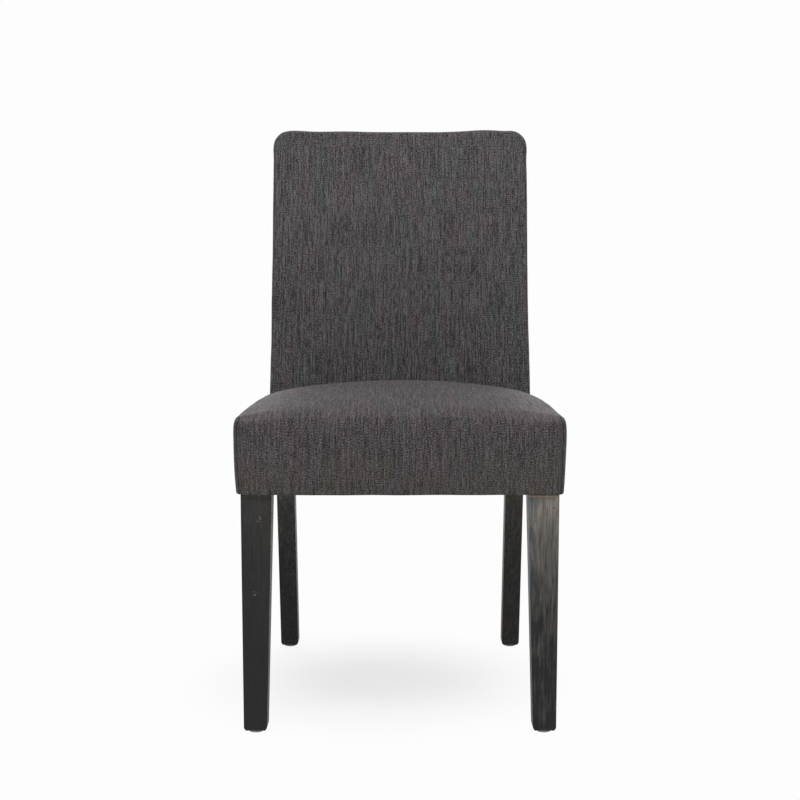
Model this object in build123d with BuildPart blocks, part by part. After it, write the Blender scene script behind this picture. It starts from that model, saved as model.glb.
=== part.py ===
from build123d import *
from math import sqrt
import os

# Upholstered dining chair: a padded seat box and a raked, padded back on four wooden legs that bolt on.
# Millimetres. The floor is Z = 0, the front of the chair faces -Y, and left is -X, as seen from the front.
# Depths are measured back from the front of the seat cover.

# Outline of the upholstery
overall_height = 911.0
seat_underside = 353.0
seat_front_width = 480.0
seat_rear_width = 446.0
seat_depth = 428.0
seat_meeting_height = 484.0
seat_front_crown = 467.0
seat_middle_crown = 487.0
seat_edge_height = 463.0
seat_edge_radius = 20.0
seat_side_fullness = 4.5
seat_shoulder = 2.0
seat_fullest_share = 0.78
seat_middle_share = 0.45
seat_tuck = 8.0
back_side_inset = 2.0
back_side_taper = 3.0
back_thickness = 62.0
back_rake_share = 0.16
back_bottom_crown = 3.0
back_middle_crown = 7.0
back_top_crown = 3.0
back_middle_share = 0.5
back_corner_radius = 24.0
back_front_edge_radius = 11.0
back_rear_edge_radius = 8.0

# Fabric, padding and the clearances between layers
cover_thickness = 1.2
wadding_thickness = 3.0
fabric_gap = 0.1
glue_line = 0.1
hem_width = 14.0
outside_panel_margin = 9.0
dust_cover_thickness = 0.5
dust_cover_margin = 13.0
dust_cover_leg_gap = 3.0
board_thickness = 2.8
board_edge_inset = 6.0
cut_overrun = 5.0

# Wooden frame
rail_thickness = 16.0
rail_top = 425.0
stile_width = 40.0
stile_depth = 28.0
top_rail_height = 60.0
bottom_rail_height = 40.0
bottom_rail_rise = 30.0
bottom_rail_thickness = 20.0
corner_block_thickness = 22.0
corner_block_inset = 6.0
leg_draw_gap = 2.0

# Webbing straps
strap_thickness = 1.6
strap_gap = 0.2
strap_width = 50.0
strap_ramp = 8.0
strap_end_inset = 4.0
lengthwise_strap_count = 4
crosswise_strap_count = 5
back_strap_count = 3

# Legs
leg_shoulder_gap = 0.4
leg_tongue_drop = 3.0
leg_edge_radius = 1.5
foot_ease_width = 2.5
foot_ease_height = 5.0
glide_height = 4.0
glide_diameter = 22.0
glide_edge_radius = 1.0
front_leg_width = 45.0
front_leg_side_inset = 10.0
front_leg_setback = 6.0
front_leg_outer_taper = 1.5
front_leg_inner_taper = 9.5
tongue_chamfer = 10.0
rear_leg_width = 30.5
rear_leg_side_inset = 11.4
rear_leg_back_inset = 10.0
rear_leg_top_thickness = 42.0
rear_leg_foot_thickness = 36.0
rear_leg_splay = 91.0

# Fasteners
bolt_rise = 22.0
bolt_spacing = 30.0
hanger_bolt_diameter = 8.0
hanger_bolt_bite = 26.0
hanger_bolt_tail = 4.0
hanger_nut_height = 6.5
hanger_nut_radius = 7.5
washer_thickness = 1.6
hanger_washer_diameter = 18.0
rear_bolt_diameter = 6.0
rear_bolt_head_diameter = 10.0
rear_bolt_head_height = 4.0
rear_washer_diameter = 14.0
insert_diameter = 10.0
insert_length = 12.0
screw_diameter = 4.0
screw_head_diameter = 8.0
screw_head_height = 3.0
screw_seat = 10.0
screw_bite = 12.0
stile_screw_diameter = 5.0
stile_screw_head_diameter = 9.0
stile_screw_bite = 30.0
stile_screw_rise = 30.0
stile_screw_spacing = 27.0
dowel_diameter = 8.0
dowel_depth = 16.0
rail_dowel_depth = 11.0
hole_gap = 0.1
nail_diameter = 2.4
nail_length = 16.0
nail_rise = 1.5

# Places that follow from the sizes above
rake_stretch = sqrt(1 + back_rake_share**2)
back_rise = overall_height - seat_underside
back_foot_depth = seat_depth - back_rake_share * (seat_meeting_height - seat_underside)
back_rear_depth = (
    back_foot_depth
    + back_rake_share * (back_rise - back_rear_edge_radius)
    + back_thickness * rake_stretch
    - back_rear_edge_radius * (rake_stretch - 1)
)
front_y = -back_rear_depth / 2
back_foot_y = front_y + back_foot_depth
back_bottom_width = seat_rear_width - 2 * back_side_inset
back_top_width = back_bottom_width - 2 * back_side_taper
side_slope = (seat_front_width - seat_rear_width) / 2 / seat_depth
wadding_inset = cover_thickness + fabric_gap
foam_inset = wadding_inset + wadding_thickness + fabric_gap
rail_bottom = seat_underside + wadding_inset
rail_outer_inset = seat_side_fullness + foam_inset
rail_inner_inset = rail_outer_inset + rail_thickness
front_rail_y = front_y + foam_inset
front_rail_rear_y = front_rail_y + rail_thickness
webbing_top = rail_top + fabric_gap + 2 * strap_thickness + strap_gap
foam_bottom = webbing_top + fabric_gap
stile_rear_setback = back_thickness - wadding_inset - board_thickness
stile_setback = stile_rear_setback - stile_depth
stile_outer_half = back_top_width / 2 - foam_inset - fabric_gap
stile_inner_half = stile_outer_half - stile_width
leg_top = seat_underside - leg_shoulder_gap
tongue_top = rail_top - leg_tongue_drop
bolt_heights = (rail_bottom + bolt_rise, rail_bottom + bolt_rise + bolt_spacing)

# The back's front plane leans back; it faces forward, and its own Y runs up the slope from the underside
back_plane = Plane(
    origin=(0, back_foot_y, seat_underside), x_dir=(1, 0, 0), z_dir=(0, -1, back_rake_share)
)
stile_plane = back_plane.offset(-stile_setback)


def side_x(inset, y):
    """X of the seat's right side line at Y, moved in by an inset."""
    return seat_front_width / 2 - inset - side_slope * (y - front_y)


def slope_rise(height, setback):
    """Distance up the back's slope of a height, on the plane that lies a setback behind its face."""
    return ((height - seat_underside) + setback * back_rake_share / rake_stretch) * rake_stretch


def seat_form(inset, bottom):
    """The seat's outer form moved in by an inset: crowned top, full sides, rounded edges, open length."""
    reach = seat_depth + seat_tuck + inset
    sections = (
        (0, seat_front_crown),
        (seat_middle_share, seat_middle_crown),
        (1, seat_meeting_height),
    )
    with BuildPart() as form:
        for share, crown in sections:
            y = front_y + inset + share * (reach - inset)
            half = side_x(inset, y)
            hem = half - seat_side_fullness
            edge = seat_edge_height - inset
            fullest = seat_underside + seat_fullest_share * (seat_edge_height - seat_underside)
            with BuildSketch(Plane.XZ.offset(-y)):
                with BuildLine():
                    Line((-hem, bottom), (hem, bottom))
                    ThreePointArc((hem, bottom), (half, fullest), (half - seat_shoulder, edge))
                    ThreePointArc(
                        (half - seat_shoulder, edge), (0, crown - inset), (seat_shoulder - half, edge)
                    )
                    ThreePointArc((seat_shoulder - half, edge), (-half, fullest), (-hem, bottom))
                make_face()
        loft()
        front = form.faces().sort_by(lambda face: face.normal_at().Y)[0]
        front_edges = front.edges().sort_by(Axis.Z)[1:]
        side_edges = form.edges().filter_by(
            lambda edge: edge.length > seat_depth / 2
            and abs(edge.center().X) > seat_rear_width / 4
            and edge.center().Z > fullest
        )
        fillet(list(front_edges) + list(side_edges), seat_edge_radius - inset)
    return form.part


def back_form(inset, bottom):
    """The back's outer form moved in by an inset: raked, crowned front, flat rear, rounded edges."""
    sections = (
        (bottom, back_bottom_crown),
        (seat_underside + back_middle_share * back_rise, back_middle_crown),
        (overall_height - inset, back_top_crown),
    )
    with BuildPart() as form:
        for height, crown in sections:
            share = (height - seat_underside) / back_rise
            half = (back_bottom_width + share * (back_top_width - back_bottom_width)) / 2 - inset
            front = back_foot_y + back_rake_share * (height - seat_underside) + inset * rake_stretch
            rear = front + (back_thickness - 2 * inset) * rake_stretch
            with BuildSketch(Plane.XY.offset(height)):
                with BuildLine():
                    Polyline((-half, front), (-half, rear), (half, rear), (half, front))
                    ThreePointArc((half, front), (0, front - crown), (-half, front))
                make_face()
        loft()
        top_face = form.faces().sort_by(Axis.Z)[-1]
        corners = top_face.edges().filter_by(lambda edge: abs(edge.center().X) > back_top_width / 4)
        fillet(corners, back_corner_radius - inset)
        front_face = form.faces().sort_by(lambda face: face.normal_at().Y)[0]
        fillet(front_face.edges().sort_by(Axis.Z)[1:], back_front_edge_radius - inset)
        rear_face = form.faces().sort_by(lambda face: face.normal_at().Y)[-1]
        fillet(rear_face.edges().sort_by(Axis.Z)[1:], back_rear_edge_radius - inset)
    return form.part


def plan_block(corners, bottom, top):
    """An upright block over plan corners, from one height to another."""
    with BuildPart() as block:
        with BuildSketch(Plane.XY.offset(bottom)):
            with BuildLine():
                Polyline(*corners, close=True)
            make_face()
        extrude(amount=top - bottom)
    return block.part


def raked_block(half_width, setback, depth, low, high):
    """A block in the back's slope: across both sides, from a setback rearward, between two slope distances."""
    with BuildPart() as block:
        with BuildSketch(back_plane.offset(-setback)):
            with Locations((0, (low + high) / 2)):
                Rectangle(2 * half_width, high - low)
        extrude(amount=-depth)
    return block.part


def raked_point(x, setback, height):
    """A point at X and a height, on the plane that lies a setback behind the back's face."""
    return (x, back_foot_y + back_rake_share * (height - seat_underside) + setback * rake_stretch, height)


def rods(planes, diameter, length):
    """Round rods, or the cutters of their holes, each from its plane along the plane's normal."""
    with BuildPart() as group:
        for plane in planes:
            with BuildSketch(plane):
                Circle(diameter / 2)
            extrude(amount=length)
    return group.part


# Where the bolts, screws and dowels of the right half run; the left half mirrors them
front_corner_x = side_x(rail_inner_inset, front_rail_rear_y)
front_leg_outer_half = seat_front_width / 2 - front_leg_side_inset
front_leg_inner_half = front_leg_outer_half - front_leg_width
front_leg_rear_y = front_y + front_leg_setback + front_leg_width
block_near = (
    (front_corner_x - front_leg_inner_half)
    + (front_leg_rear_y - front_rail_rear_y)
    - tongue_chamfer
    + leg_draw_gap * sqrt(2)
)
block_far = block_near + corner_block_thickness * sqrt(2)
hanger_planes = [
    Plane(
        origin=(
            front_leg_inner_half + tongue_chamfer / 2,
            front_leg_rear_y - tongue_chamfer / 2,
            height,
        ),
        z_dir=(-1, 1, 0),
    )
    for height in bolt_heights
]
rear_leg_top_y = back_foot_y + rear_leg_back_inset
rear_leg_outer_half = side_x(rear_leg_side_inset, rear_leg_top_y)
rear_leg_inner_half = rear_leg_outer_half - rear_leg_width
rear_leg_slope = rear_leg_splay / (leg_top - glide_height)
rear_bolt_planes = [
    Plane(
        origin=(rear_leg_inner_half, rear_leg_top_y + rear_bolt_diameter, height),
        z_dir=(1, 0, 0),
    )
    for height in bolt_heights
]
block_screw_x = front_corner_x - (block_near + block_far) / 2
block_screw_planes = [
    Plane(origin=(block_screw_x, front_rail_rear_y + screw_seat, height), z_dir=(0, -1, 0))
    for height in bolt_heights
] + [
    Plane(
        origin=(
            side_x(rail_inner_inset, front_rail_rear_y + (block_near + block_far) / 2) - screw_seat,
            front_rail_rear_y + (block_near + block_far) / 2,
            height,
        ),
        z_dir=(1, 0, 0),
    )
    for height in bolt_heights
]
rail_middle_inset = rail_outer_inset + rail_thickness / 2
front_dowel_planes = [
    Plane(
        origin=(side_x(rail_middle_inset, front_rail_rear_y), front_rail_rear_y, height),
        z_dir=(0, 1, 0),
    )
    for height in bolt_heights
]
rear_dowel_planes = [
    Plane(
        origin=raked_point(stile_inner_half, stile_setback + rail_thickness / 2, height),
        z_dir=(1, 0, 0),
    )
    for height in bolt_heights
]
bottom_rail_low = slope_rise(rail_top, stile_setback) + bottom_rail_rise
bottom_dowel_planes = [
    Plane(
        origin=back_plane.from_local_coords(
            (
                stile_inner_half,
                bottom_rail_low + bottom_rail_height / 2 + offset,
                -stile_setback - bottom_rail_thickness / 2,
            )
        ),
        z_dir=(1, 0, 0),
    )
    for offset in (-dowel_diameter, dowel_diameter)
]
back_frame_top = slope_rise(overall_height - foam_inset - fabric_gap, stile_setback)
stile_top = back_frame_top - top_rail_height
top_dowel_planes = [
    Plane(
        origin=back_plane.from_local_coords(
            (
                stile_outer_half - stile_width / 2 + offset,
                stile_top,
                -stile_setback - stile_depth / 2,
            )
        ),
        x_dir=(1, 0, 0),
        z_dir=back_plane.y_dir,
    )
    for offset in (-dowel_diameter, dowel_diameter)
]
stile_screw_planes = [
    Plane(
        origin=raked_point(
            side_x(rail_middle_inset, back_foot_y + stile_setback), stile_rear_setback, height
        ),
        x_dir=(1, 0, 0),
        z_dir=back_plane.z_dir,
    )
    for height in (
        rail_bottom + stile_screw_rise,
        rail_bottom + stile_screw_rise + stile_screw_spacing,
    )
]


# Seat rails: the front rail runs across, and each side rail butts against it and against a stile
with BuildPart() as front_rail:
    outer_x = side_x(rail_outer_inset, front_rail_y)
    deep_y = front_y + seat_depth / 2
    deep_x = side_x(rail_outer_inset, deep_y)
    with BuildSketch(Plane.XY.offset(rail_bottom)) as rail_plan:
        with BuildLine():
            Polyline(
                (-outer_x, front_rail_y),
                (outer_x, front_rail_y),
                (deep_x, deep_y),
                (-deep_x, deep_y),
                close=True,
            )
        make_face()
        fillet(rail_plan.vertices().group_by(Axis.Y)[0], seat_edge_radius - foam_inset)
    extrude(amount=rail_top - rail_bottom)
    split(bisect_by=Plane.XZ.offset(-front_rail_rear_y), keep=Keep.TOP)
    holes = rods(
        [plane.offset(-rail_dowel_depth) for plane in front_dowel_planes],
        dowel_diameter + 2 * hole_gap,
        rail_dowel_depth + cut_overrun,
    )
    screw_holes = rods(
        block_screw_planes[:2], screw_diameter + 2 * hole_gap, screw_seat + screw_bite + hole_gap
    )
    for cutter in (holes, screw_holes):
        add(cutter, mode=Mode.SUBTRACT)
        add(cutter.mirror(Plane.YZ), mode=Mode.SUBTRACT)
front_rail.part.label = "front_rail"

with BuildPart() as right_side_rail:
    start_y = front_rail_rear_y + glue_line
    end_y = back_foot_y + back_rake_share * (rail_top - seat_underside) + stile_rear_setback
    with BuildSketch(Plane.XY.offset(rail_bottom)):
        with BuildLine():
            Polyline(
                (side_x(rail_outer_inset, start_y), start_y),
                (side_x(rail_outer_inset, end_y), end_y),
                (side_x(rail_inner_inset, end_y), end_y),
                (side_x(rail_inner_inset, start_y), start_y),
                close=True,
            )
        make_face()
    extrude(amount=rail_top - rail_bottom)
    split(bisect_by=stile_plane.offset(glue_line), keep=Keep.TOP)
    add(
        rods(front_dowel_planes, dowel_diameter + 2 * hole_gap, dowel_depth + cut_overrun),
        mode=Mode.SUBTRACT,
    )
    add(
        rods(
            block_screw_planes[2:],
            screw_diameter + 2 * hole_gap,
            screw_seat + screw_bite + hole_gap,
        ),
        mode=Mode.SUBTRACT,
    )
    add(
        rods(
            stile_screw_planes,
            stile_screw_diameter + 2 * hole_gap,
            stile_depth + stile_screw_bite + hole_gap,
        ),
        mode=Mode.SUBTRACT,
    )
    insert_reach = side_x(rail_inner_inset, rear_leg_top_y) + insert_length - rear_leg_inner_half
    add(
        rods(rear_bolt_planes, insert_diameter + 2 * hole_gap, insert_reach + hole_gap),
        mode=Mode.SUBTRACT,
    )
right_side_rail.part.label = "right_side_rail"

with BuildPart() as left_side_rail:
    mirror(right_side_rail.part, about=Plane.YZ)
left_side_rail.part.label = "left_side_rail"

with BuildPart() as rear_rail:
    add(
        raked_block(
            stile_inner_half - glue_line, stile_setback, rail_thickness, -back_thickness, back_rise / 2
        )
    )
    split(bisect_by=Plane.XY.offset(rail_bottom), keep=Keep.TOP)
    split(bisect_by=Plane.XY.offset(rail_top), keep=Keep.BOTTOM)
    holes = rods(
        [plane.offset(-dowel_depth) for plane in rear_dowel_planes],
        dowel_diameter + 2 * hole_gap,
        dowel_depth,
    )
    add(holes, mode=Mode.SUBTRACT)
    add(holes.mirror(Plane.YZ), mode=Mode.SUBTRACT)
rear_rail.part.label = "rear_rail"

# Back frame: two raked stiles, a rounded top rail on their ends and a bottom rail above the seat
with BuildPart() as right_back_stile:
    stile_middle = (stile_outer_half + stile_inner_half) / 2
    with BuildSketch(stile_plane):
        with Locations((stile_middle, 0)):
            Rectangle(stile_width, 2 * (stile_top - glue_line))
    extrude(amount=-stile_depth)
    split(bisect_by=Plane.XY.offset(rail_bottom), keep=Keep.TOP)
    for planes in (rear_dowel_planes, bottom_dowel_planes):
        add(
            rods(planes, dowel_diameter + 2 * hole_gap, dowel_depth + hole_gap),
            mode=Mode.SUBTRACT,
        )
    add(
        rods(
            [plane.offset(-dowel_depth - hole_gap) for plane in top_dowel_planes],
            dowel_diameter + 2 * hole_gap,
            dowel_depth + cut_overrun,
        ),
        mode=Mode.SUBTRACT,
    )
    add(
        rods(stile_screw_planes, stile_screw_diameter + 2 * hole_gap, stile_depth + cut_overrun),
        mode=Mode.SUBTRACT,
    )
    add(
        rods(stile_screw_planes, stile_screw_head_diameter + 2 * hole_gap, screw_head_height + hole_gap),
        mode=Mode.SUBTRACT,
    )
right_back_stile.part.label = "right_back_stile"

with BuildPart() as left_back_stile:
    mirror(right_back_stile.part, about=Plane.YZ)
left_back_stile.part.label = "left_back_stile"

with BuildPart() as back_top_rail:
    with BuildSketch(stile_plane) as top_rail_outline:
        with Locations((0, back_frame_top - top_rail_height / 2)):
            Rectangle(2 * stile_outer_half, top_rail_height)
        fillet(
            top_rail_outline.vertices().group_by(Axis.Y)[-1],
            back_corner_radius - foam_inset - fabric_gap,
        )
    extrude(amount=-stile_depth)
    holes = rods(top_dowel_planes, dowel_diameter + 2 * hole_gap, dowel_depth + hole_gap)
    add(holes, mode=Mode.SUBTRACT)
    add(holes.mirror(Plane.YZ), mode=Mode.SUBTRACT)
back_top_rail.part.label = "back_top_rail"

with BuildPart() as back_bottom_rail:
    add(
        raked_block(
            stile_inner_half - glue_line,
            stile_setback,
            bottom_rail_thickness,
            bottom_rail_low,
            bottom_rail_low + bottom_rail_height,
        )
    )
    holes = rods(
        [plane.offset(-dowel_depth - hole_gap) for plane in bottom_dowel_planes],
        dowel_diameter + 2 * hole_gap,
        dowel_depth + cut_overrun,
    )
    add(holes, mode=Mode.SUBTRACT)
    add(holes.mirror(Plane.YZ), mode=Mode.SUBTRACT)
back_bottom_rail.part.label = "back_bottom_rail"

# Corner blocks: a diagonal brace in each front corner that the leg's bolts pull against
with BuildPart() as front_right_corner_block:
    corner_y = front_rail_rear_y + glue_line
    near_reach = (block_near - glue_line) / (1 + side_slope)
    far_reach = (block_far - glue_line) / (1 + side_slope)
    corners = (
        (front_corner_x - block_near, corner_y),
        (front_corner_x - block_far, corner_y),
        (front_corner_x - block_far + far_reach, corner_y + far_reach),
        (front_corner_x - block_near + near_reach, corner_y + near_reach),
    )
    add(plan_block(corners, rail_bottom + corner_block_inset, rail_top - corner_block_inset))
    add(
        rods(
            hanger_planes,
            hanger_bolt_diameter + 2 * hole_gap,
            leg_draw_gap + corner_block_thickness + cut_overrun,
        ),
        mode=Mode.SUBTRACT,
    )
    add(
        rods(block_screw_planes, screw_diameter + 2 * hole_gap, screw_seat + cut_overrun),
        mode=Mode.SUBTRACT,
    )
    add(
        rods(
            [Plane(origin=plane.origin, z_dir=-plane.z_dir) for plane in block_screw_planes],
            screw_head_diameter + 2 * hole_gap,
            corner_block_thickness,
        ),
        mode=Mode.SUBTRACT,
    )
front_right_corner_block.part.label = "front_right_corner_block"

with BuildPart() as front_left_corner_block:
    mirror(front_right_corner_block.part, about=Plane.YZ)
front_left_corner_block.part.label = "front_left_corner_block"


# Webbing: each strap passes over one crossing strap and under the next
def woven_strap(plane, start, end, crossings, first_over):
    """A flat strap in a plane of run and height, that changes level between its crossings."""
    low = rail_top + fabric_gap
    high = low + strap_thickness + strap_gap
    flat = strap_width / 2 + strap_ramp / 2
    under_side = [(start, low)]
    for number, crossing in enumerate(crossings):
        level = high if (number + first_over) % 2 == 0 else low
        under_side += [(crossing - flat, level), (crossing + flat, level)]
    under_side.append((end, low))
    upper_side = [(run, height + strap_thickness) for run, height in reversed(under_side)]
    with BuildPart() as strap:
        with BuildSketch(plane):
            with BuildLine():
                Polyline(*under_side, *upper_side, close=True)
            make_face()
        extrude(amount=strap_width / 2, both=True)
    return strap.part


webbing_front_y = front_rail_y + strap_end_inset
webbing_rear_y = raked_point(0, stile_setback + rail_thickness, rail_top)[1] - strap_end_inset
crosswise_room = raked_point(0, stile_setback, rail_top)[1] - front_rail_rear_y
crosswise_pitch = crosswise_room / crosswise_strap_count
crosswise_places = [
    front_rail_rear_y + (number + 1 / 2) * crosswise_pitch for number in range(crosswise_strap_count)
]
lengthwise_pitch = (2 * stile_inner_half - strap_width - 2 * glue_line) / (lengthwise_strap_count - 1)
lengthwise_places = [
    (number - (lengthwise_strap_count - 1) / 2) * lengthwise_pitch
    for number in range(lengthwise_strap_count)
]

with BuildPart() as seat_webbing_lengthwise:
    for number, x in enumerate(lengthwise_places):
        add(
            woven_strap(
                Plane.YZ.offset(x), webbing_front_y, webbing_rear_y, crosswise_places, number % 2
            )
        )
seat_webbing_lengthwise.part.label = "seat_webbing_lengthwise"

with BuildPart() as seat_webbing_crosswise:
    for number, y in enumerate(crosswise_places):
        reach = side_x(rail_outer_inset + strap_end_inset, y + strap_width / 2)
        add(
            woven_strap(
                Plane.XZ.offset(-y), -reach, reach, lengthwise_places, (number + 1) % 2
            )
        )
seat_webbing_crosswise.part.label = "seat_webbing_crosswise"

with BuildPart() as back_webbing:
    webbing_low = bottom_rail_low + bottom_rail_height
    webbing_pitch = (stile_top - webbing_low) / (back_strap_count + 1)
    for number in range(back_strap_count):
        middle = webbing_low + (number + 1) * webbing_pitch
        add(
            raked_block(
                stile_outer_half - strap_end_inset,
                stile_setback - strap_thickness - fabric_gap,
                strap_thickness,
                middle - strap_width / 2,
                middle + strap_width / 2,
            )
        )
back_webbing.part.label = "back_webbing"

# Seat upholstery: foam on the webbing, wadding over it, and the cover turned under the rails
back_clearance = back_form(-fabric_gap, seat_underside - cut_overrun)

with BuildPart() as seat_foam:
    add(seat_form(foam_inset, seat_underside))
    split(bisect_by=Plane.XY.offset(foam_bottom), keep=Keep.TOP)
    split(bisect_by=back_plane, keep=Keep.TOP)
    add(back_clearance, mode=Mode.SUBTRACT)
seat_foam.part.label = "seat_foam"

with BuildPart() as seat_wadding:
    add(seat_form(wadding_inset, rail_bottom))
    add(seat_form(wadding_inset + wadding_thickness, seat_underside), mode=Mode.SUBTRACT)
    split(bisect_by=back_plane, keep=Keep.TOP)
    add(back_clearance, mode=Mode.SUBTRACT)
seat_wadding.part.label = "seat_wadding"

with BuildPart() as seat_cover:
    add(seat_form(0, seat_underside))
    add(seat_form(cover_thickness, seat_underside + cover_thickness), mode=Mode.SUBTRACT)
    hem_y = front_y + cover_thickness + hem_width
    hem_end_y = front_y + seat_depth
    hem_inset = seat_side_fullness + cover_thickness + hem_width
    hem_opening = (
        (-side_x(hem_inset, hem_y), hem_y),
        (side_x(hem_inset, hem_y), hem_y),
        (side_x(hem_inset, hem_end_y), hem_end_y),
        (-side_x(hem_inset, hem_end_y), hem_end_y),
    )
    add(
        plan_block(
            hem_opening, seat_underside - cut_overrun, seat_underside + cover_thickness + cut_overrun
        ),
        mode=Mode.SUBTRACT,
    )
    split(bisect_by=back_plane, keep=Keep.TOP)
    add(back_clearance, mode=Mode.SUBTRACT)
seat_cover.part.label = "seat_cover"

# Back upholstery: foam in front of the webbing, wadding and cover round it, a board and a panel behind.
# Below the seat foam the front of the back is open, and the seat's rails and webbing pass through it.
back_opening_half = side_x(rail_outer_inset, back_foot_y) + fabric_gap
front_window = raked_block(
    back_opening_half,
    -cut_overrun - back_bottom_crown,
    back_thickness - hem_width + cut_overrun + back_bottom_crown,
    -back_thickness,
    slope_rise(foam_bottom, foam_inset),
)

with BuildPart() as back_foam:
    add(back_form(foam_inset, seat_underside))
    split(
        bisect_by=back_plane.offset(-stile_setback + strap_thickness + 2 * fabric_gap),
        keep=Keep.TOP,
    )
    split(bisect_by=Plane.XY.offset(foam_bottom), keep=Keep.TOP)
back_foam.part.label = "back_foam"

with BuildPart() as back_wadding:
    add(back_form(wadding_inset, rail_bottom))
    add(back_form(wadding_inset + wadding_thickness, seat_underside), mode=Mode.SUBTRACT)
    split(bisect_by=back_plane.offset(back_rear_edge_radius - back_thickness), keep=Keep.TOP)
    add(front_window, mode=Mode.SUBTRACT)
back_wadding.part.label = "back_wadding"

with BuildPart() as back_board:
    with BuildSketch(back_plane.offset(-stile_rear_setback)) as board_outline:
        with Locations((0, (back_frame_top + slope_rise(rail_bottom, back_thickness)) / 2)):
            Rectangle(
                2 * (stile_outer_half - board_edge_inset),
                back_frame_top - slope_rise(rail_bottom, back_thickness),
            )
        fillet(
            board_outline.vertices().group_by(Axis.Y)[-1],
            back_corner_radius - foam_inset - fabric_gap,
        )
    extrude(amount=-board_thickness + fabric_gap)
back_board.part.label = "back_board"

panel_half = back_top_width / 2 - outside_panel_margin
panel_top = slope_rise(overall_height - outside_panel_margin, back_thickness)


def panel_zone(gap):
    """The part of the cover's rear that the outside panel takes, grown by a gap."""
    return raked_block(
        panel_half + gap,
        back_thickness - hem_width - gap,
        hem_width + cut_overrun + gap,
        -back_thickness,
        panel_top + gap,
    )


back_shell = back_form(0, seat_underside).cut(
    back_form(cover_thickness, seat_underside + cover_thickness)
)

with BuildPart() as back_cover:
    add(back_shell)
    add(panel_zone(fabric_gap), mode=Mode.SUBTRACT)
    add(front_window, mode=Mode.SUBTRACT)
back_cover.part.label = "back_cover"

with BuildPart() as outside_back_panel:
    add(back_shell)
    add(panel_zone(0), mode=Mode.INTERSECT)
outside_back_panel.part.label = "outside_back_panel"

# Dust cover: thin black cloth under the seat, cut away where the bolts are reached
with BuildPart() as dust_cover:
    dust_front_y = front_y + dust_cover_margin
    dust_rear_y = back_foot_y + back_thickness * rake_stretch - dust_cover_margin
    dust_side_inset = seat_side_fullness + dust_cover_margin
    front_cut_x = front_corner_x - block_far - dust_cover_leg_gap
    front_cut_y = front_rail_rear_y + block_far + dust_cover_leg_gap
    rear_cut_x = rear_leg_inner_half - 2 * rear_bolt_head_height - dust_cover_leg_gap
    rear_cut_y = rear_leg_top_y - dust_cover_leg_gap
    right_edge = [
        (front_cut_x, dust_front_y),
        (side_x(dust_side_inset, front_cut_y), front_cut_y),
        (side_x(dust_side_inset, rear_cut_y), rear_cut_y),
        (rear_cut_x, rear_cut_y),
        (rear_cut_x, dust_rear_y),
    ]
    left_edge = [(-x, y) for x, y in reversed(right_edge)]
    dust_top = seat_underside - fabric_gap
    add(plan_block(right_edge + left_edge, dust_top - dust_cover_thickness, dust_top))
dust_cover.part.label = "dust_cover"

# Front legs: square and tapered, with a tongue inside the corner that two hanger bolts draw in
front_foot_x = front_leg_outer_half - front_leg_outer_taper - (
    front_leg_width - front_leg_outer_taper - front_leg_inner_taper
) / 2
front_foot_y = front_y + front_leg_setback + front_leg_outer_taper + (
    front_leg_width - front_leg_outer_taper - front_leg_inner_taper
) / 2
rear_foot_x = rear_leg_outer_half - rear_leg_width / 2
rear_foot_y = rear_leg_top_y + rear_leg_splay + rear_leg_foot_thickness / 2
front_nail_plane = Plane(origin=(front_foot_x, front_foot_y, glide_height), z_dir=(0, 0, 1))
rear_nail_plane = Plane(origin=(rear_foot_x, rear_foot_y, glide_height), z_dir=(0, 0, 1))


def ease_foot(x, y, width, depth):
    """Cuts the four lower edges of a foot off at a slant, round its centre in plan."""
    for turn_x, turn_y in ((1, 0), (-1, 0), (0, 1), (0, -1)):
        slant = Plane(
            origin=(
                x + turn_x * (width / 2 - foot_ease_width),
                y + turn_y * (depth / 2 - foot_ease_width),
                glide_height,
            ),
            x_dir=(-turn_y, turn_x, 0),
            z_dir=(turn_x * foot_ease_height, turn_y * foot_ease_height, -foot_ease_width),
        )
        split(bisect_by=slant, keep=Keep.BOTTOM)


with BuildPart() as front_right_leg:
    tongue_front_y = front_rail_rear_y + glue_line
    tongue_corners = (
        (front_leg_inner_half, tongue_front_y),
        (side_x(rail_inner_inset + glue_line, tongue_front_y), tongue_front_y),
        (side_x(rail_inner_inset + glue_line, front_leg_rear_y), front_leg_rear_y),
        (front_leg_inner_half + tongue_chamfer, front_leg_rear_y),
        (front_leg_inner_half, front_leg_rear_y - tongue_chamfer),
    )
    add(plan_block(tongue_corners, leg_top, tongue_top))
    with BuildSketch(Plane.XY.offset(leg_top)):
        with Locations(
            (front_leg_outer_half - front_leg_width / 2, front_leg_rear_y - front_leg_width / 2)
        ):
            Rectangle(front_leg_width, front_leg_width)
    with BuildSketch(Plane.XY.offset(glide_height)):
        with Locations((front_foot_x, front_foot_y)):
            foot_width = front_leg_width - front_leg_outer_taper - front_leg_inner_taper
            Rectangle(foot_width, foot_width)
    loft()
    long_edges = front_right_leg.edges().filter_by(lambda edge: edge.length > leg_top / 2)
    fillet(long_edges, leg_edge_radius)
    ease_foot(front_foot_x, front_foot_y, foot_width, foot_width)
    add(
        rods(
            [plane.offset(-hanger_bolt_bite) for plane in hanger_planes],
            hanger_bolt_diameter + 2 * hole_gap,
            hanger_bolt_bite + cut_overrun,
        ),
        mode=Mode.SUBTRACT,
    )
    add(
        rods([front_nail_plane], nail_diameter + 2 * hole_gap, nail_length + hole_gap),
        mode=Mode.SUBTRACT,
    )
front_right_leg.part.label = "front_right_leg"

with BuildPart() as front_left_leg:
    mirror(front_right_leg.part, about=Plane.YZ)
front_left_leg.part.label = "front_left_leg"

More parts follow.
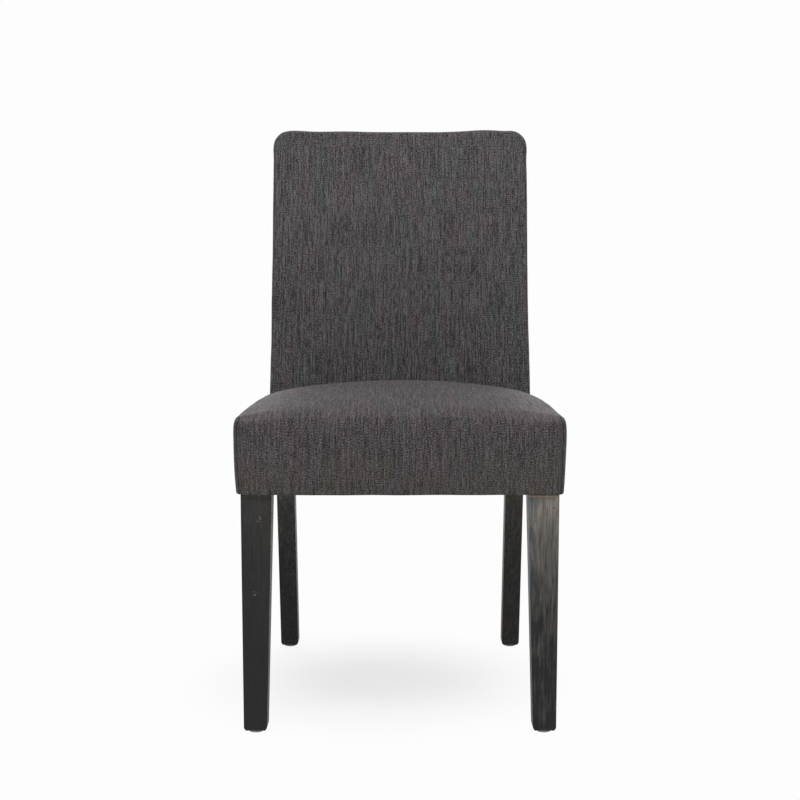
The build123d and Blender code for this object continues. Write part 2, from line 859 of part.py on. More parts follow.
# Rear legs: raked, with a tongue between the side rail and the stile that two bolts hold to the rail
with BuildPart() as rear_right_leg:
    tongue_height = tongue_top - leg_top
    rear_face_slope = (rear_leg_splay + rear_leg_foot_thickness - rear_leg_top_thickness) / (
        leg_top - glide_height
    )
    rear_leg_top_rear_y = rear_leg_top_y + rear_leg_top_thickness
    with BuildSketch(Plane.YZ.offset(rear_leg_inner_half)):
        with BuildLine():
            Polyline(
                (rear_leg_top_y, leg_top),
                (rear_leg_top_rear_y, leg_top),
                (rear_leg_top_rear_y - rear_face_slope * tongue_height, tongue_top),
                (rear_leg_top_y - rear_leg_slope * tongue_height, tongue_top),
                close=True,
            )
        make_face()
    extrude(amount=rear_leg_width)
    split(
        bisect_by=Plane(
            origin=(side_x(rail_inner_inset + glue_line, front_y), front_y, 0),
            x_dir=(-side_slope, 1, 0),
            z_dir=(1, side_slope, 0),
        ),
        keep=Keep.BOTTOM,
    )
    split(bisect_by=stile_plane.offset(glue_line), keep=Keep.TOP)
    add(
        rods(
            [plane.offset(-cut_overrun) for plane in rear_bolt_planes],
            rear_bolt_diameter + 2 * hole_gap,
            rear_leg_width,
        ),
        mode=Mode.SUBTRACT,
    )
    with BuildSketch(Plane.YZ.offset(rear_leg_inner_half)):
        with BuildLine():
            Polyline(
                (rear_leg_top_y, leg_top),
                (rear_leg_top_rear_y, leg_top),
                (rear_leg_top_y + rear_leg_splay + rear_leg_foot_thickness, glide_height),
                (rear_leg_top_y + rear_leg_splay, glide_height),
                close=True,
            )
        make_face()
    extrude(amount=rear_leg_width)
    long_edges = rear_right_leg.edges().filter_by(lambda edge: edge.length > leg_top / 2)
    fillet(long_edges, leg_edge_radius)
    ease_foot(rear_foot_x, rear_foot_y, rear_leg_width, rear_leg_foot_thickness)
    add(
        rods([rear_nail_plane], nail_diameter + 2 * hole_gap, nail_length + hole_gap),
        mode=Mode.SUBTRACT,
    )
rear_right_leg.part.label = "rear_right_leg"

with BuildPart() as rear_left_leg:
    mirror(rear_right_leg.part, about=Plane.YZ)
rear_left_leg.part.label = "rear_left_leg"

# Glides: plastic discs moulded round the ends of their nails
with BuildPart() as leg_glides:
    for plane in (front_nail_plane, rear_nail_plane):
        with BuildSketch(plane.offset(-glide_height)):
            Circle(glide_diameter / 2)
        extrude(amount=glide_height)
    chamfer(leg_glides.faces().group_by(Axis.Z)[0].edges(), glide_edge_radius)
    for plane in (front_nail_plane, rear_nail_plane):
        nail_end = plane.offset(nail_rise - glide_height - hole_gap)
        add(rods([nail_end], nail_diameter + 2 * hole_gap, glide_height), mode=Mode.SUBTRACT)
    mirror(about=Plane.YZ)
leg_glides.part.label = "leg_glides"

with BuildPart() as glide_nails:
    for plane in (front_nail_plane, rear_nail_plane):
        nail_end = plane.offset(nail_rise - glide_height)
        add(rods([nail_end], nail_diameter, glide_height - nail_rise + nail_length))
    mirror(about=Plane.YZ)
glide_nails.part.label = "glide_nails"


# Fasteners, each kind a group of separate pieces
def rings(planes, outer_diameter, inner_diameter, length, sides=0):
    """Round rings, or with a number of sides, nuts, each from its plane along the plane's normal."""
    with BuildPart() as group:
        for plane in planes:
            with BuildSketch(plane):
                if sides:
                    RegularPolygon(outer_diameter / 2, sides)
                else:
                    Circle(outer_diameter / 2)
                Circle(inner_diameter / 2, mode=Mode.SUBTRACT)
            extrude(amount=length)
    return group.part


hanger_seat = leg_draw_gap + corner_block_thickness + 2 * glue_line
hanger_length = (
    hanger_bolt_bite + hanger_seat + washer_thickness + hanger_nut_height + hanger_bolt_tail
)

with BuildPart() as leg_hanger_bolts:
    add(
        rods(
            [plane.offset(hole_gap - hanger_bolt_bite) for plane in hanger_planes],
            hanger_bolt_diameter,
            hanger_length,
        )
    )
    mirror(about=Plane.YZ)
leg_hanger_bolts.part.label = "leg_hanger_bolts"

with BuildPart() as hanger_bolt_washers:
    add(
        rings(
            [plane.offset(hanger_seat) for plane in hanger_planes],
            hanger_washer_diameter,
            hanger_bolt_diameter + 2 * hole_gap,
            washer_thickness,
        )
    )
    mirror(about=Plane.YZ)
hanger_bolt_washers.part.label = "hanger_bolt_washers"

with BuildPart() as hanger_bolt_nuts:
    add(
        rings(
            [plane.offset(hanger_seat + washer_thickness + hole_gap) for plane in hanger_planes],
            2 * hanger_nut_radius,
            hanger_bolt_diameter + 2 * hole_gap,
            hanger_nut_height,
            sides=6,
        )
    )
    mirror(about=Plane.YZ)
hanger_bolt_nuts.part.label = "hanger_bolt_nuts"

with BuildPart() as rear_leg_bolts:
    under_head = washer_thickness + 2 * hole_gap
    add(
        rods(
            [plane.offset(-under_head - rear_bolt_head_height) for plane in rear_bolt_planes],
            rear_bolt_head_diameter,
            rear_bolt_head_height,
        )
    )
    add(
        rods(
            [plane.offset(-under_head - rear_bolt_head_height) for plane in rear_bolt_planes],
            rear_bolt_diameter,
            under_head + rear_bolt_head_height + insert_reach - hole_gap,
        )
    )
    mirror(about=Plane.YZ)
rear_leg_bolts.part.label = "rear_leg_bolts"

with BuildPart() as rear_leg_washers:
    add(
        rings(
            [plane.offset(-washer_thickness - hole_gap) for plane in rear_bolt_planes],
            rear_washer_diameter,
            rear_bolt_diameter + 2 * hole_gap,
            washer_thickness,
        )
    )
    mirror(about=Plane.YZ)
rear_leg_washers.part.label = "rear_leg_washers"

with BuildPart() as rear_leg_inserts:
    insert_start = insert_reach - insert_length + insert_diameter / 2 * side_slope + hole_gap
    add(
        rings(
            [plane.offset(insert_start) for plane in rear_bolt_planes],
            insert_diameter,
            rear_bolt_diameter + 2 * hole_gap,
            insert_reach - insert_start,
        )
    )
    mirror(about=Plane.YZ)
rear_leg_inserts.part.label = "rear_leg_inserts"

with BuildPart() as corner_block_screws:
    heads = [Plane(origin=plane.origin, z_dir=-plane.z_dir) for plane in block_screw_planes]
    add(rods([head.offset(hole_gap) for head in heads], screw_head_diameter, screw_head_height))
    add(
        rods(
            [plane.offset(-screw_head_height) for plane in block_screw_planes],
            screw_diameter,
            screw_head_height + screw_seat + screw_bite,
        )
    )
    mirror(about=Plane.YZ)
corner_block_screws.part.label = "corner_block_screws"

with BuildPart() as stile_screws:
    screw_planes = [plane.offset(hole_gap) for plane in stile_screw_planes]
    add(rods(screw_planes, stile_screw_head_diameter, screw_head_height - hole_gap))
    add(rods(screw_planes, stile_screw_diameter, stile_depth + stile_screw_bite - hole_gap))
    mirror(about=Plane.YZ)
stile_screws.part.label = "stile_screws"

with BuildPart() as seat_frame_dowels:
    add(
        rods(
            [plane.offset(hole_gap - rail_dowel_depth) for plane in front_dowel_planes],
            dowel_diameter,
            rail_dowel_depth + dowel_depth,
        )
    )
    add(
        rods(
            [plane.offset(hole_gap - dowel_depth) for plane in rear_dowel_planes],
            dowel_diameter,
            2 * dowel_depth - hole_gap,
        )
    )
    mirror(about=Plane.YZ)
seat_frame_dowels.part.label = "seat_frame_dowels"

with BuildPart() as back_frame_dowels:
    for planes in (bottom_dowel_planes, top_dowel_planes):
        add(
            rods(
                [plane.offset(-dowel_depth) for plane in planes], dowel_diameter, 2 * dowel_depth
            )
        )
    mirror(about=Plane.YZ)
back_frame_dowels.part.label = "back_frame_dowels"

finished = [
    front_left_leg,
    front_right_leg,
    rear_left_leg,
    rear_right_leg,
    front_rail,
    rear_rail,
    left_side_rail,
    right_side_rail,
    left_back_stile,
    right_back_stile,
    back_top_rail,
    back_bottom_rail,
    front_left_corner_block,
    front_right_corner_block,
    seat_webbing_lengthwise,
    seat_webbing_crosswise,
    back_webbing,
    seat_foam,
    seat_wadding,
    seat_cover,
    back_foam,
    back_wadding,
    back_cover,
    outside_back_panel,
    back_board,
    dust_cover,
    leg_glides,
    glide_nails,
    leg_hanger_bolts,
    hanger_bolt_washers,
    hanger_bolt_nuts,
    rear_leg_bolts,
    rear_leg_washers,
    rear_leg_inserts,
    corner_block_screws,
    stile_screws,
    seat_frame_dowels,
    back_frame_dowels,
]
os.makedirs("parts", exist_ok=True)
for piece in finished:
    export_step(piece.part, f"parts/{piece.part.label}.step")
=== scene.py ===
import math

import bmesh
import bpy
import numpy as np
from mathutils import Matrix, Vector, noise


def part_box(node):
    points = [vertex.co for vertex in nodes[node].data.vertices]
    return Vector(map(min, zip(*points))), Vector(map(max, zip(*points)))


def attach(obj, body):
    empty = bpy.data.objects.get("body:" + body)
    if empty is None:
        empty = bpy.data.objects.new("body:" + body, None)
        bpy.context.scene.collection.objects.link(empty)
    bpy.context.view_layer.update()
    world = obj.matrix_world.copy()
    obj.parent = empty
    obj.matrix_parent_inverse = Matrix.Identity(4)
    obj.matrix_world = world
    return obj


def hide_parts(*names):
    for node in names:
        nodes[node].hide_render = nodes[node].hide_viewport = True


# Upholstered dining chair: padded seat and back in heathered cloth on black stained wooden legs.
# Metres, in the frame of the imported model: the floor is Z = 0 and the chair faces -Y.
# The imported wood, straps, board, glides and fasteners keep their meshes and get materials here.
# The cloth of the seat, the back, the outside back and the dust cover is made anew, with staples.
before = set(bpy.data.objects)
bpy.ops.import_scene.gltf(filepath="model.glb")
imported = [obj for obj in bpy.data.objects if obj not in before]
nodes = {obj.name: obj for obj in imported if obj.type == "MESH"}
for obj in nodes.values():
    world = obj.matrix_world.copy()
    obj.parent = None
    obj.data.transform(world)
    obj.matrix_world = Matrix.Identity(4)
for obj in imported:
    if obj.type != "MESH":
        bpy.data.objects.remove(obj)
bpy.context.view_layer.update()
scene = bpy.context.scene

# Camera, at the photograph's viewing angle
CAMERA_PLACE = (0.0, -2.479, 0.698)
CAMERA_TILT_DEGREES = 5.368
FOCAL_PIXELS = 1547
PICTURE_PIXELS = 800
SENSOR_MM = 36.0

CLIP_END = 50

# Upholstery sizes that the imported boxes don't give. The seat's crowns and side lifts are those in
# front, at a share of the depth, and at the rear.
SEAT_HALF = 0.2418
SEAT_REAR_OVERLAP = 0.004
SEAT_CORNER_RADIUS = 0.020
SEAT_FRONT_RADIUS = 0.014
SEAT_SIDE_RADIUS = 0.012
SEAT_HEM_RADIUS = 0.0006
SEAT_EDGE_HEIGHT = 0.463
SEAT_CROWNS = (0.472, 0.487, 0.484)
SEAT_CROWN_SHARE = 0.45
SEAT_SIDE_LIFTS = (0.0045, 0.0080, -0.0010)
SEAT_LIFT_SHARE = 0.35
SEAT_CROWN_POWER = 2.4
SEAT_REAR_NARROWING = 0.017
SEAT_NARROWING_RUN = 0.428
SEAT_SIDE_TUCK = 0.0036
SEAT_SHOULDER_TUCK = 0.002
SEAT_FULLEST_SHARE = 0.78
BACK_RAKE = 0.16
BACK_THICKNESS = 0.062
BACK_CORNER_RADIUS = 0.034
BACK_FACE_RADIUS = 0.015
BACK_REAR_RADIUS = 0.008
BACK_SIDE_TAPER = 0.005
BACK_SIDE_EXTRA = 0.0050
BACK_BEHIND_SEAT = 0.03
BACK_CROWNS = (0.003, 0.007, 0.003)
BACK_SEAM_INSET = 0.0065
TOP_EDGE_RISE = 0.0014
TOP_EDGE_BUMPS = ((0.64, 0.20, 0.0034), (-0.42, 0.16, 0.0010), (-0.78, 0.10, 0.0014))
HEM_WIDTH = 0.014
HEM_FADE = 0.03
GRID_STEP = 0.007
SEAM_STEP = 0.003
SAME_PLACE = 1e-6
TINY = 1e-9

# Slow unevenness of the cloth: the size of the waves, their seed and their height
SEAT_WAVES = ((0.085, 1, 0.0009), (0.03, 2, 0.00025))
BACK_WAVES = ((0.10, 5, 0.0009), (0.03, 6, 0.00025))
HEM_WAVE_SIZE = 0.06
HEM_WAVE_SEED = 10
HEM_WAVE_MIDDLE = 0.4
HEM_WAVE_HEIGHT = 0.0009

# Seams: gathers beside the groove, and the painted shade in it
GATHER_PITCH = 0.0085
GATHER_REACH = 0.009
GATHER_DRIFT = 2.0
GATHER_DRIFT_SIZE = 0.03
SEAM_SHADE_WIDTH = 0.0015
BACK_SEAM_SHADE = 0.12

# Cloth simulation: the covers are blown up a little from inside, and no place moves past the limit
SWELL_PRESSURE = 4.0
SWELL_LIMIT = 0.006
SWELL_FRAMES = 20


# Shader building
def cleared(owner):
    """The node tree of a material or a world, emptied."""
    owner.use_nodes = True
    owner.node_tree.nodes.clear()
    return owner.node_tree


def new_shader(name, **settings):
    """A material with one Principled shader, whose sockets take the settings."""
    material = bpy.data.materials.new(name)
    tree = cleared(material)
    output = tree.nodes.new("ShaderNodeOutputMaterial")
    shader = tree.nodes.new("ShaderNodeBsdfPrincipled")
    tree.links.new(shader.outputs["BSDF"], output.inputs["Surface"])
    for socket, value in settings.items():
        shader.inputs[socket.replace("_", " ")].default_value = value
    return material, tree, shader


def feed(tree, socket, value):
    """Links a socket to another one, or sets its value."""
    if isinstance(value, bpy.types.NodeSocket):
        tree.links.new(value, socket)
    else:
        socket.default_value = value


def maths(tree, operation, first, second=0.0, third=0.0):
    node = tree.nodes.new("ShaderNodeMath")
    node.operation = operation
    for socket, value in zip(node.inputs, (first, second, third)):
        feed(tree, socket, value)
    return node.outputs[0]


def times(tree, first, second):
    return maths(tree, "MULTIPLY", first, second)


def levels(tree, value, low, high, to_low=0.0, to_high=1.0, smooth=False):
    """The value moved from one range to another and kept inside it."""
    node = tree.nodes.new("ShaderNodeMapRange")
    node.interpolation_type = "SMOOTHSTEP" if smooth else "LINEAR"
    for socket, given in zip(node.inputs, (value, low, high, to_low, to_high)):
        feed(tree, socket, given)
    return node.outputs[0]


def mixed(tree, share, first, second):
    node = tree.nodes.new("ShaderNodeMix")
    node.data_type = "RGBA"
    colours = [s for s in node.inputs if s.type == "RGBA"]
    feed(tree, node.inputs[0], share)
    feed(tree, colours[0], first)
    feed(tree, colours[1], second)
    return [s for s in node.outputs if s.type == "RGBA"][0]


def stretched(tree, vector, scales, shift=(0.0, 0.0, 0.0)):
    node = tree.nodes.new("ShaderNodeMapping")
    tree.links.new(vector, node.inputs["Vector"])
    node.inputs["Scale"].default_value = scales
    node.inputs["Location"].default_value = shift
    return node.outputs[0]


def clouds(tree, vector, scales, detail, roughness=0.5, shift=(0.0, 0.0, 0.0)):
    """Noise, centred near a half, with its own scale along each axis."""
    node = tree.nodes.new("ShaderNodeTexNoise")
    tree.links.new(stretched(tree, vector, scales, shift), node.inputs["Vector"])
    node.inputs["Scale"].default_value = 1.0
    node.inputs["Detail"].default_value = detail
    node.inputs["Roughness"].default_value = roughness
    return node.outputs[0]


def linear(value):
    """The linear amount of an 8-bit level."""
    level = value / 255
    return level / 12.92 if level <= 0.04045 else ((level + 0.055) / 1.055) ** 2.4


def tone(red, green, blue):
    return (linear(red), linear(green), linear(blue), 1.0)


def grey(value, warmth=0.0):
    return tone(value * (1 + warmth), value, value * (1 - warmth))


def bumped(tree, shader, height, depth, strength):
    node = tree.nodes.new("ShaderNodeBump")
    node.inputs["Strength"].default_value = strength
    node.inputs["Distance"].default_value = depth
    feed(tree, node.inputs["Height"], height)
    tree.links.new(node.outputs[0], shader.inputs["Normal"])


def placed(tree):
    """Places on the object, in metres in the frame of the model."""
    return tree.nodes.new("ShaderNodeTexCoord").outputs["Object"]


def stored(tree, name):
    """The node that reads an attribute of the mesh."""
    node = tree.nodes.new("ShaderNodeAttribute")
    node.attribute_name = name
    return node


def coloured(tree, shader, share, first, second):
    tree.links.new(mixed(tree, share, first, second), shader.inputs["Base Color"])


def roughened(tree, shader, noise_value, at_low, at_high):
    tree.links.new(levels(tree, noise_value, 0.3, 0.7, at_low, at_high), shader.inputs["Roughness"])


# Cloth: heathered slub yarns that run down the front panels and back over the seat.
# The mesh stores where each face lies in the weave, how much painted shade darkens its seam grooves
# (seam), how much its yarns stand out (nap) and how much painted light or painted shade lightens or
# darkens it.
PICK_PITCH = 0.0035
YARN_WANDER = 26.0
NAP_CONTRAST = 0.35
DARKEST_SHADE = -0.62
LIGHTEST_SHADE = 0.66
SHADE_POWER = 1.5
TEAL_BLEND = 0.12
OLIVE_START = -0.030
OLIVE_END = -0.085
CLOTH_RELIEF = 0.0006
SEAM_SHADE_TONE = (24, 22, 22)


def heathered_cloth(name, olive, teal, light_yarn):
    """olive says how much of that tint the lowest yarns carry, and teal how rare that one is."""
    material, tree, shader = new_shader(
        name, Roughness=0.95, Specular_IOR_Level=0.10, Sheen_Weight=0.06, Sheen_Roughness=0.5
    )
    shader.inputs["Sheen Tint"].default_value = grey(205)
    weave = stored(tree, "weave").outputs["Vector"]
    split = tree.nodes.new("ShaderNodeSeparateXYZ")
    tree.links.new(weave, split.inputs[0])
    across, along = split.outputs[0], split.outputs[1]

    threads = clouds(tree, weave, (480, 17, 1), detail=1.0, shift=(6.1, 4.4, 0))
    slubs = clouds(tree, weave, (470, 70, 1), detail=2.0, roughness=0.55)
    specks = clouds(tree, weave, (430, 450, 1), detail=0.0, shift=(3.1, 7.7, 0))
    stripes = clouds(tree, weave, (170, 8, 1), detail=2.0, roughness=0.6, shift=(9.3, 1.7, 0))
    picks = times(tree, along, 2 * math.pi / PICK_PITCH)
    turns = maths(tree, "MULTIPLY_ADD", threads, YARN_WANDER, picks)
    dots = times(tree, maths(tree, "SINE", turns), levels(tree, slubs, 0.40, 0.62, 0.3, 1.0))

    shade = 0.0
    for part, middle, amount in (
        (threads, 0.5, 1.05),
        (slubs, 0.5, 1.20),
        (specks, 0.5, 1.35),
        (stripes, 0.5, 0.42),
        (dots, 0.0, 0.40),
    ):
        change = times(tree, maths(tree, "SUBTRACT", part, middle), amount)
        shade = maths(tree, "ADD", shade, change)
    contrast = maths(tree, "MULTIPLY_ADD", stored(tree, "nap").outputs["Fac"], NAP_CONTRAST, 1.0)
    shade = times(tree, shade, contrast)
    # Painted light and painted shade from the mesh lift or lower the shade here
    shade = maths(tree, "ADD", shade, stored(tree, "painted_light").outputs["Fac"])
    shade = maths(tree, "POWER", levels(tree, shade, DARKEST_SHADE, LIGHTEST_SHADE), SHADE_POWER)

    patches = clouds(tree, weave, (30, 9, 1), detail=3.0, roughness=0.7, shift=(5.5, 2.2, 0))
    patches = maths(tree, "MULTIPLY_ADD", slubs, 0.30, patches)
    teal_share = levels(tree, patches, teal, teal + TEAL_BLEND)
    earth = clouds(tree, weave, (26, 12, 1), detail=3.0, roughness=0.7, shift=(15.5, 8.2, 0))
    low_down = levels(tree, along, OLIVE_START, OLIVE_END, 0.0, olive)
    olive_share = times(tree, levels(tree, earth, 0.42, 0.60), low_down)
    dark = mixed(tree, teal_share, tone(34, 31, 32), tone(30, 32, 32))
    light = mixed(tree, teal_share, light_yarn, tone(98, 99, 99))
    dark = mixed(tree, olive_share, dark, tone(34, 32, 28))
    light = mixed(tree, olive_share, light, tone(104, 99, 90))
    colour = mixed(tree, shade, dark, light)
    # Painted shade darkens the seam grooves
    seam_shade_share = times(tree, stored(tree, "seam").outputs["Fac"], 0.75)
    coloured(tree, shader, seam_shade_share, colour, tone(*SEAM_SHADE_TONE))

    height = maths(tree, "MULTIPLY_ADD", dots, 0.20, times(tree, slubs, 0.8))
    height = maths(tree, "MULTIPLY_ADD", specks, 0.5, height)
    bumped(tree, shader, height, CLOTH_RELIEF, 0.5)
    return material


# Wood stained black. The stain gets lighter towards the top, and is rubbed away at the edges and in small
# spots.
LEG_TOP = 0.353
LIGHTER_UP_START = 0.06
LIGHTER_UP_POWER = 2.1
SPECKLE_START = 0.27
SPECKLE_END = 0.345
EDGE_WEAR_START = 0.05
CHIP_RADIUS = 0.0035
KNOT_RADIUS = 0.0010
EDGE_RADIUS = 0.0022
TOP_LINE_LOW = LEG_TOP - 0.0042
TOP_LINE_HIGH = LEG_TOP - 0.0028


def around(tree, place, spot, radius):
    """1 within the radius of a spot, fading to 0 beyond it."""
    gap = tree.nodes.new("ShaderNodeVectorMath")
    gap.operation = "DISTANCE"
    tree.links.new(place, gap.inputs[0])
    gap.inputs[1].default_value = spot
    return levels(tree, gap.outputs["Value"], 1.5 * radius, radius, smooth=True)


def stained_wood(name, middle, lightening, darkest, contrast, specks, warmth, shift, chips=(), knots=()):
    """middle is the leg's X, and the next argument says how much lighter its upper part gets. contrast and
    specks roughen its stain.
    """
    material, tree, shader = new_shader(name, Specular_IOR_Level=0.15)
    place = placed(tree)
    split = tree.nodes.new("ShaderNodeSeparateXYZ")
    tree.links.new(place, split.inputs[0])
    height = split.outputs[2]
    fibres = clouds(tree, place, (640, 640, 22), detail=3.0, roughness=0.65, shift=shift)
    scrapes = clouds(tree, place, (320, 320, 24), detail=3.0, roughness=0.65, shift=shift)
    blotches = clouds(tree, place, (42, 42, 26), detail=3.0, roughness=0.6, shift=shift)
    pits = clouds(tree, place, (280, 280, 280), detail=2.0, roughness=0.6, shift=shift)

    lighter_up = maths(tree, "POWER", levels(tree, height, LIGHTER_UP_START, LEG_TOP), LIGHTER_UP_POWER)
    lighter_up = times(tree, lighter_up, lightening)
    uneven = maths(tree, "SUBTRACT", maths(tree, "ADD", blotches, scrapes), 1.0)
    lighter_up = maths(tree, "MULTIPLY_ADD", uneven, 0.55 * lightening, lighter_up)
    grain = maths(tree, "MULTIPLY_ADD", scrapes, 0.6, times(tree, fibres, 0.5))
    grain = levels(tree, grain, 0.36, 0.74)
    bare = maths(tree, "MULTIPLY_ADD", maths(tree, "SUBTRACT", grain, 0.5), contrast, 0.5)
    speckled_top = levels(tree, height, SPECKLE_START, SPECKLE_END, 0.05, 1.0)
    speckle = levels(tree, pits, 0.50, 0.58, 0.0, specks)
    speckle = times(tree, speckle, speckled_top)
    black = mixed(tree, bare, grey(darkest, warmth), grey(darkest + 20, warmth))
    black = mixed(tree, speckle, black, grey(120, warmth))
    brown = mixed(tree, grain, tone(80, 76, 72), tone(146, 140, 133))
    ashen = mixed(tree, grain, tone(62, 66, 71), tone(116, 119, 123))
    beside = maths(tree, "MULTIPLY_ADD", blotches, 0.040, split.outputs[0])
    upper_tone = mixed(tree, levels(tree, beside, middle + 0.006, middle + 0.018), ashen, brown)
    colour = mixed(tree, levels(tree, lighter_up, 0.0, 1.0), black, upper_tone)
    top_line = levels(tree, height, TOP_LINE_LOW, TOP_LINE_HIGH, 0.0, 0.6 * lightening)
    colour = mixed(tree, top_line, colour, tone(160, 138, 120))

    for spot in chips:
        broken = levels(tree, pits, 0.54, 0.62, 0.0, 0.45)
        chipped = times(tree, around(tree, place, spot, CHIP_RADIUS), broken)
        colour = mixed(tree, chipped, colour, tone(150, 148, 144))
    for spot in knots:
        colour = mixed(tree, around(tree, place, spot, KNOT_RADIUS), colour, tone(52, 46, 41))

    edge = tree.nodes.new("ShaderNodeBevel")
    edge.samples = 4
    edge.inputs["Radius"].default_value = EDGE_RADIUS
    flat = tree.nodes.new("ShaderNodeNewGeometry")
    turn = tree.nodes.new("ShaderNodeVectorMath")
    turn.operation = "DOT_PRODUCT"
    tree.links.new(edge.outputs[0], turn.inputs[0])
    tree.links.new(flat.outputs["Normal"], turn.inputs[1])
    edge_share = levels(tree, turn.outputs["Value"], 0.97, 0.80, 0.0, 0.40)
    edge_share = times(tree, edge_share, levels(tree, blotches, 0.42, 0.62))
    higher_up = levels(tree, height, EDGE_WEAR_START, LEG_TOP, 0.15, 1.0)
    edge_share = times(tree, edge_share, higher_up)
    coloured(tree, shader, edge_share, colour, tone(104, 90, 78))
    roughened(tree, shader, fibres, 0.62, 0.45)
    relief = times(tree, grain, 0.4 * contrast + 0.3 * lightening)
    pitted = times(tree, pits, speckled_top)
    relief = maths(tree, "MULTIPLY_ADD", pitted, 0.4 * specks, relief)
    bumped(tree, shader, relief, 0.0005, 0.6)
    return material


def pale_wood(name, base, dark_line, shift):
    """Plain sawn timber: soft bands and fine pores."""
    material, tree, shader = new_shader(name, Specular_IOR_Level=0.35)
    place = placed(tree)
    bands = clouds(tree, place, (9, 60, 60), detail=3.0, roughness=0.6, shift=shift)
    pores = clouds(tree, place, (60, 700, 700), detail=2.0, roughness=0.6, shift=shift)
    shade = maths(tree, "MULTIPLY_ADD", pores, 0.45, times(tree, bands, 0.6))
    coloured(tree, shader, levels(tree, shade, 0.34, 0.70), base, dark_line)
    roughened(tree, shader, pores, 0.62, 0.78)
    bumped(tree, shader, pores, 0.0003, 0.4)
    return material


def woven_strap_material(name):
    material, tree, shader = new_shader(name, Specular_IOR_Level=0.3)
    place = placed(tree)
    threads = clouds(tree, place, (900, 900, 900), detail=1.0)
    rows = clouds(tree, place, (260, 260, 60), detail=2.0)
    colour = mixed(tree, levels(tree, threads, 0.35, 0.65), tone(46, 44, 42), tone(98, 90, 78))
    coloured(tree, shader, levels(tree, rows, 0.45, 0.55, 0.0, 0.4), colour, tone(60, 62, 60))
    roughened(tree, shader, rows, 0.7, 0.9)
    bumped(tree, shader, threads, 0.0005, 0.6)
    return material


def bonded_cloth(name):
    """Thin black nonwoven cloth with rows of pressed dots."""
    material, tree, shader = new_shader(name, Specular_IOR_Level=0.25, Sheen_Weight=0.1)
    place = placed(tree)
    cells = tree.nodes.new("ShaderNodeTexVoronoi")
    cells.feature = "F1"
    cells.inputs["Randomness"].default_value = 0.0
    cells.inputs["Scale"].default_value = 1.0
    tree.links.new(stretched(tree, place, (520, 520, 0.001)), cells.inputs["Vector"])
    pressed = levels(tree, cells.outputs["Distance"], 0.28, 0.42)
    fibres = clouds(tree, place, (300, 300, 300), detail=4.0, roughness=0.7)
    shade = maths(tree, "MULTIPLY_ADD", pressed, 0.5, times(tree, fibres, 0.6))
    coloured(tree, shader, levels(tree, shade, 0.2, 0.9), tone(20, 20, 21), tone(46, 46, 48))
    roughened(tree, shader, fibres, 0.75, 0.95)
    bumped(tree, shader, shade, 0.0003, 0.6)
    return material


def zinc(name):
    material, tree, shader = new_shader(name, Metallic=1.0)
    place = placed(tree)
    cloud = clouds(tree, place, (160, 160, 160), detail=3.0, roughness=0.6)
    turned = clouds(tree, place, (40, 40, 1800), detail=1.0)
    coloured(tree, shader, levels(tree, cloud, 0.35, 0.65), tone(150, 150, 146), tone(188, 190, 192))
    roughened(tree, shader, turned, 0.26, 0.42)
    bumped(tree, shader, turned, 0.0001, 0.3)
    return material


def moulded_plastic(name):
    material, tree, shader = new_shader(name, Specular_IOR_Level=0.45)
    place = placed(tree)
    fine = clouds(tree, place, (1500, 1500, 1500), detail=1.0)
    broad = clouds(tree, place, (120, 120, 120), detail=2.0)
    coloured(tree, shader, levels(tree, broad, 0.35, 0.65), tone(150, 150, 148), tone(182, 182, 180))
    roughened(tree, shader, broad, 0.38, 0.52)
    bumped(tree, shader, fine, 0.0001, 0.3)
    return material


def pressed_board(name):
    material, tree, shader = new_shader(name, Specular_IOR_Level=0.4)
    place = placed(tree)
    flecks = clouds(tree, place, (420, 420, 180), detail=3.0, roughness=0.7)
    coloured(tree, shader, levels(tree, flecks, 0.35, 0.68), tone(92, 66, 45), tone(134, 102, 72))
    roughened(tree, shader, flecks, 0.5, 0.65)
    bumped(tree, shader, flecks, 0.0002, 0.3)
    return material


def give(material, *names):
    """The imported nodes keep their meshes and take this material."""
    for name in names:
        mesh = nodes[name].data
        mesh.materials.clear()
        mesh.materials.append(material)


# The materials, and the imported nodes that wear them
cloth = heathered_cloth("charcoal_heather", olive=0.0, teal=0.64, light_yarn=tone(104, 98, 100))
seat_cloth = heathered_cloth("charcoal_heather_seat", olive=0.7, teal=0.68, light_yarn=tone(105, 98, 100))
frame_timber = pale_wood("frame_timber", tone(196, 168, 128), tone(160, 126, 88), (0.3, 0.1, 0.7))
dowel_timber = pale_wood("dowel_timber", tone(208, 186, 150), tone(178, 150, 112), (1.3, 2.1, 0.2))
steel = zinc("zinc_plated_steel")
bonded = bonded_cloth("bonded_cloth")

leg_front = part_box("front_left_leg")[0].y
chips = ((-0.2036, leg_front, 0.318), (-0.2088, leg_front, 0.209))
knots = ((0.2215, leg_front, 0.334),)
front_left = dict(middle=-0.21, lightening=0.09, darkest=22, contrast=0.25, specks=0.04, warmth=0.0)
front_right = dict(middle=0.20, lightening=0.90, darkest=23, contrast=0.9, specks=0.10, warmth=0.0)
rear_left = dict(middle=-0.21, lightening=0.30, darkest=14, contrast=1.1, specks=1.0, warmth=0.01)
rear_right = dict(middle=0.16, lightening=0.24, darkest=21, contrast=1.4, specks=0.35, warmth=0.09)
give(
    stained_wood("leg_stain_front_left", shift=(0.0, 0.0, 0.0), chips=chips, **front_left),
    "front_left_leg",
)
give(
    stained_wood("leg_stain_front_right", shift=(3.7, 1.2, 0.4), knots=knots, **front_right),
    "front_right_leg",
)
give(stained_wood("leg_stain_rear_left", shift=(7.1, 4.4, 1.9), **rear_left), "rear_left_leg")
give(stained_wood("leg_stain_rear_right", shift=(11.3, 8.0, 2.6), **rear_right), "rear_right_leg")

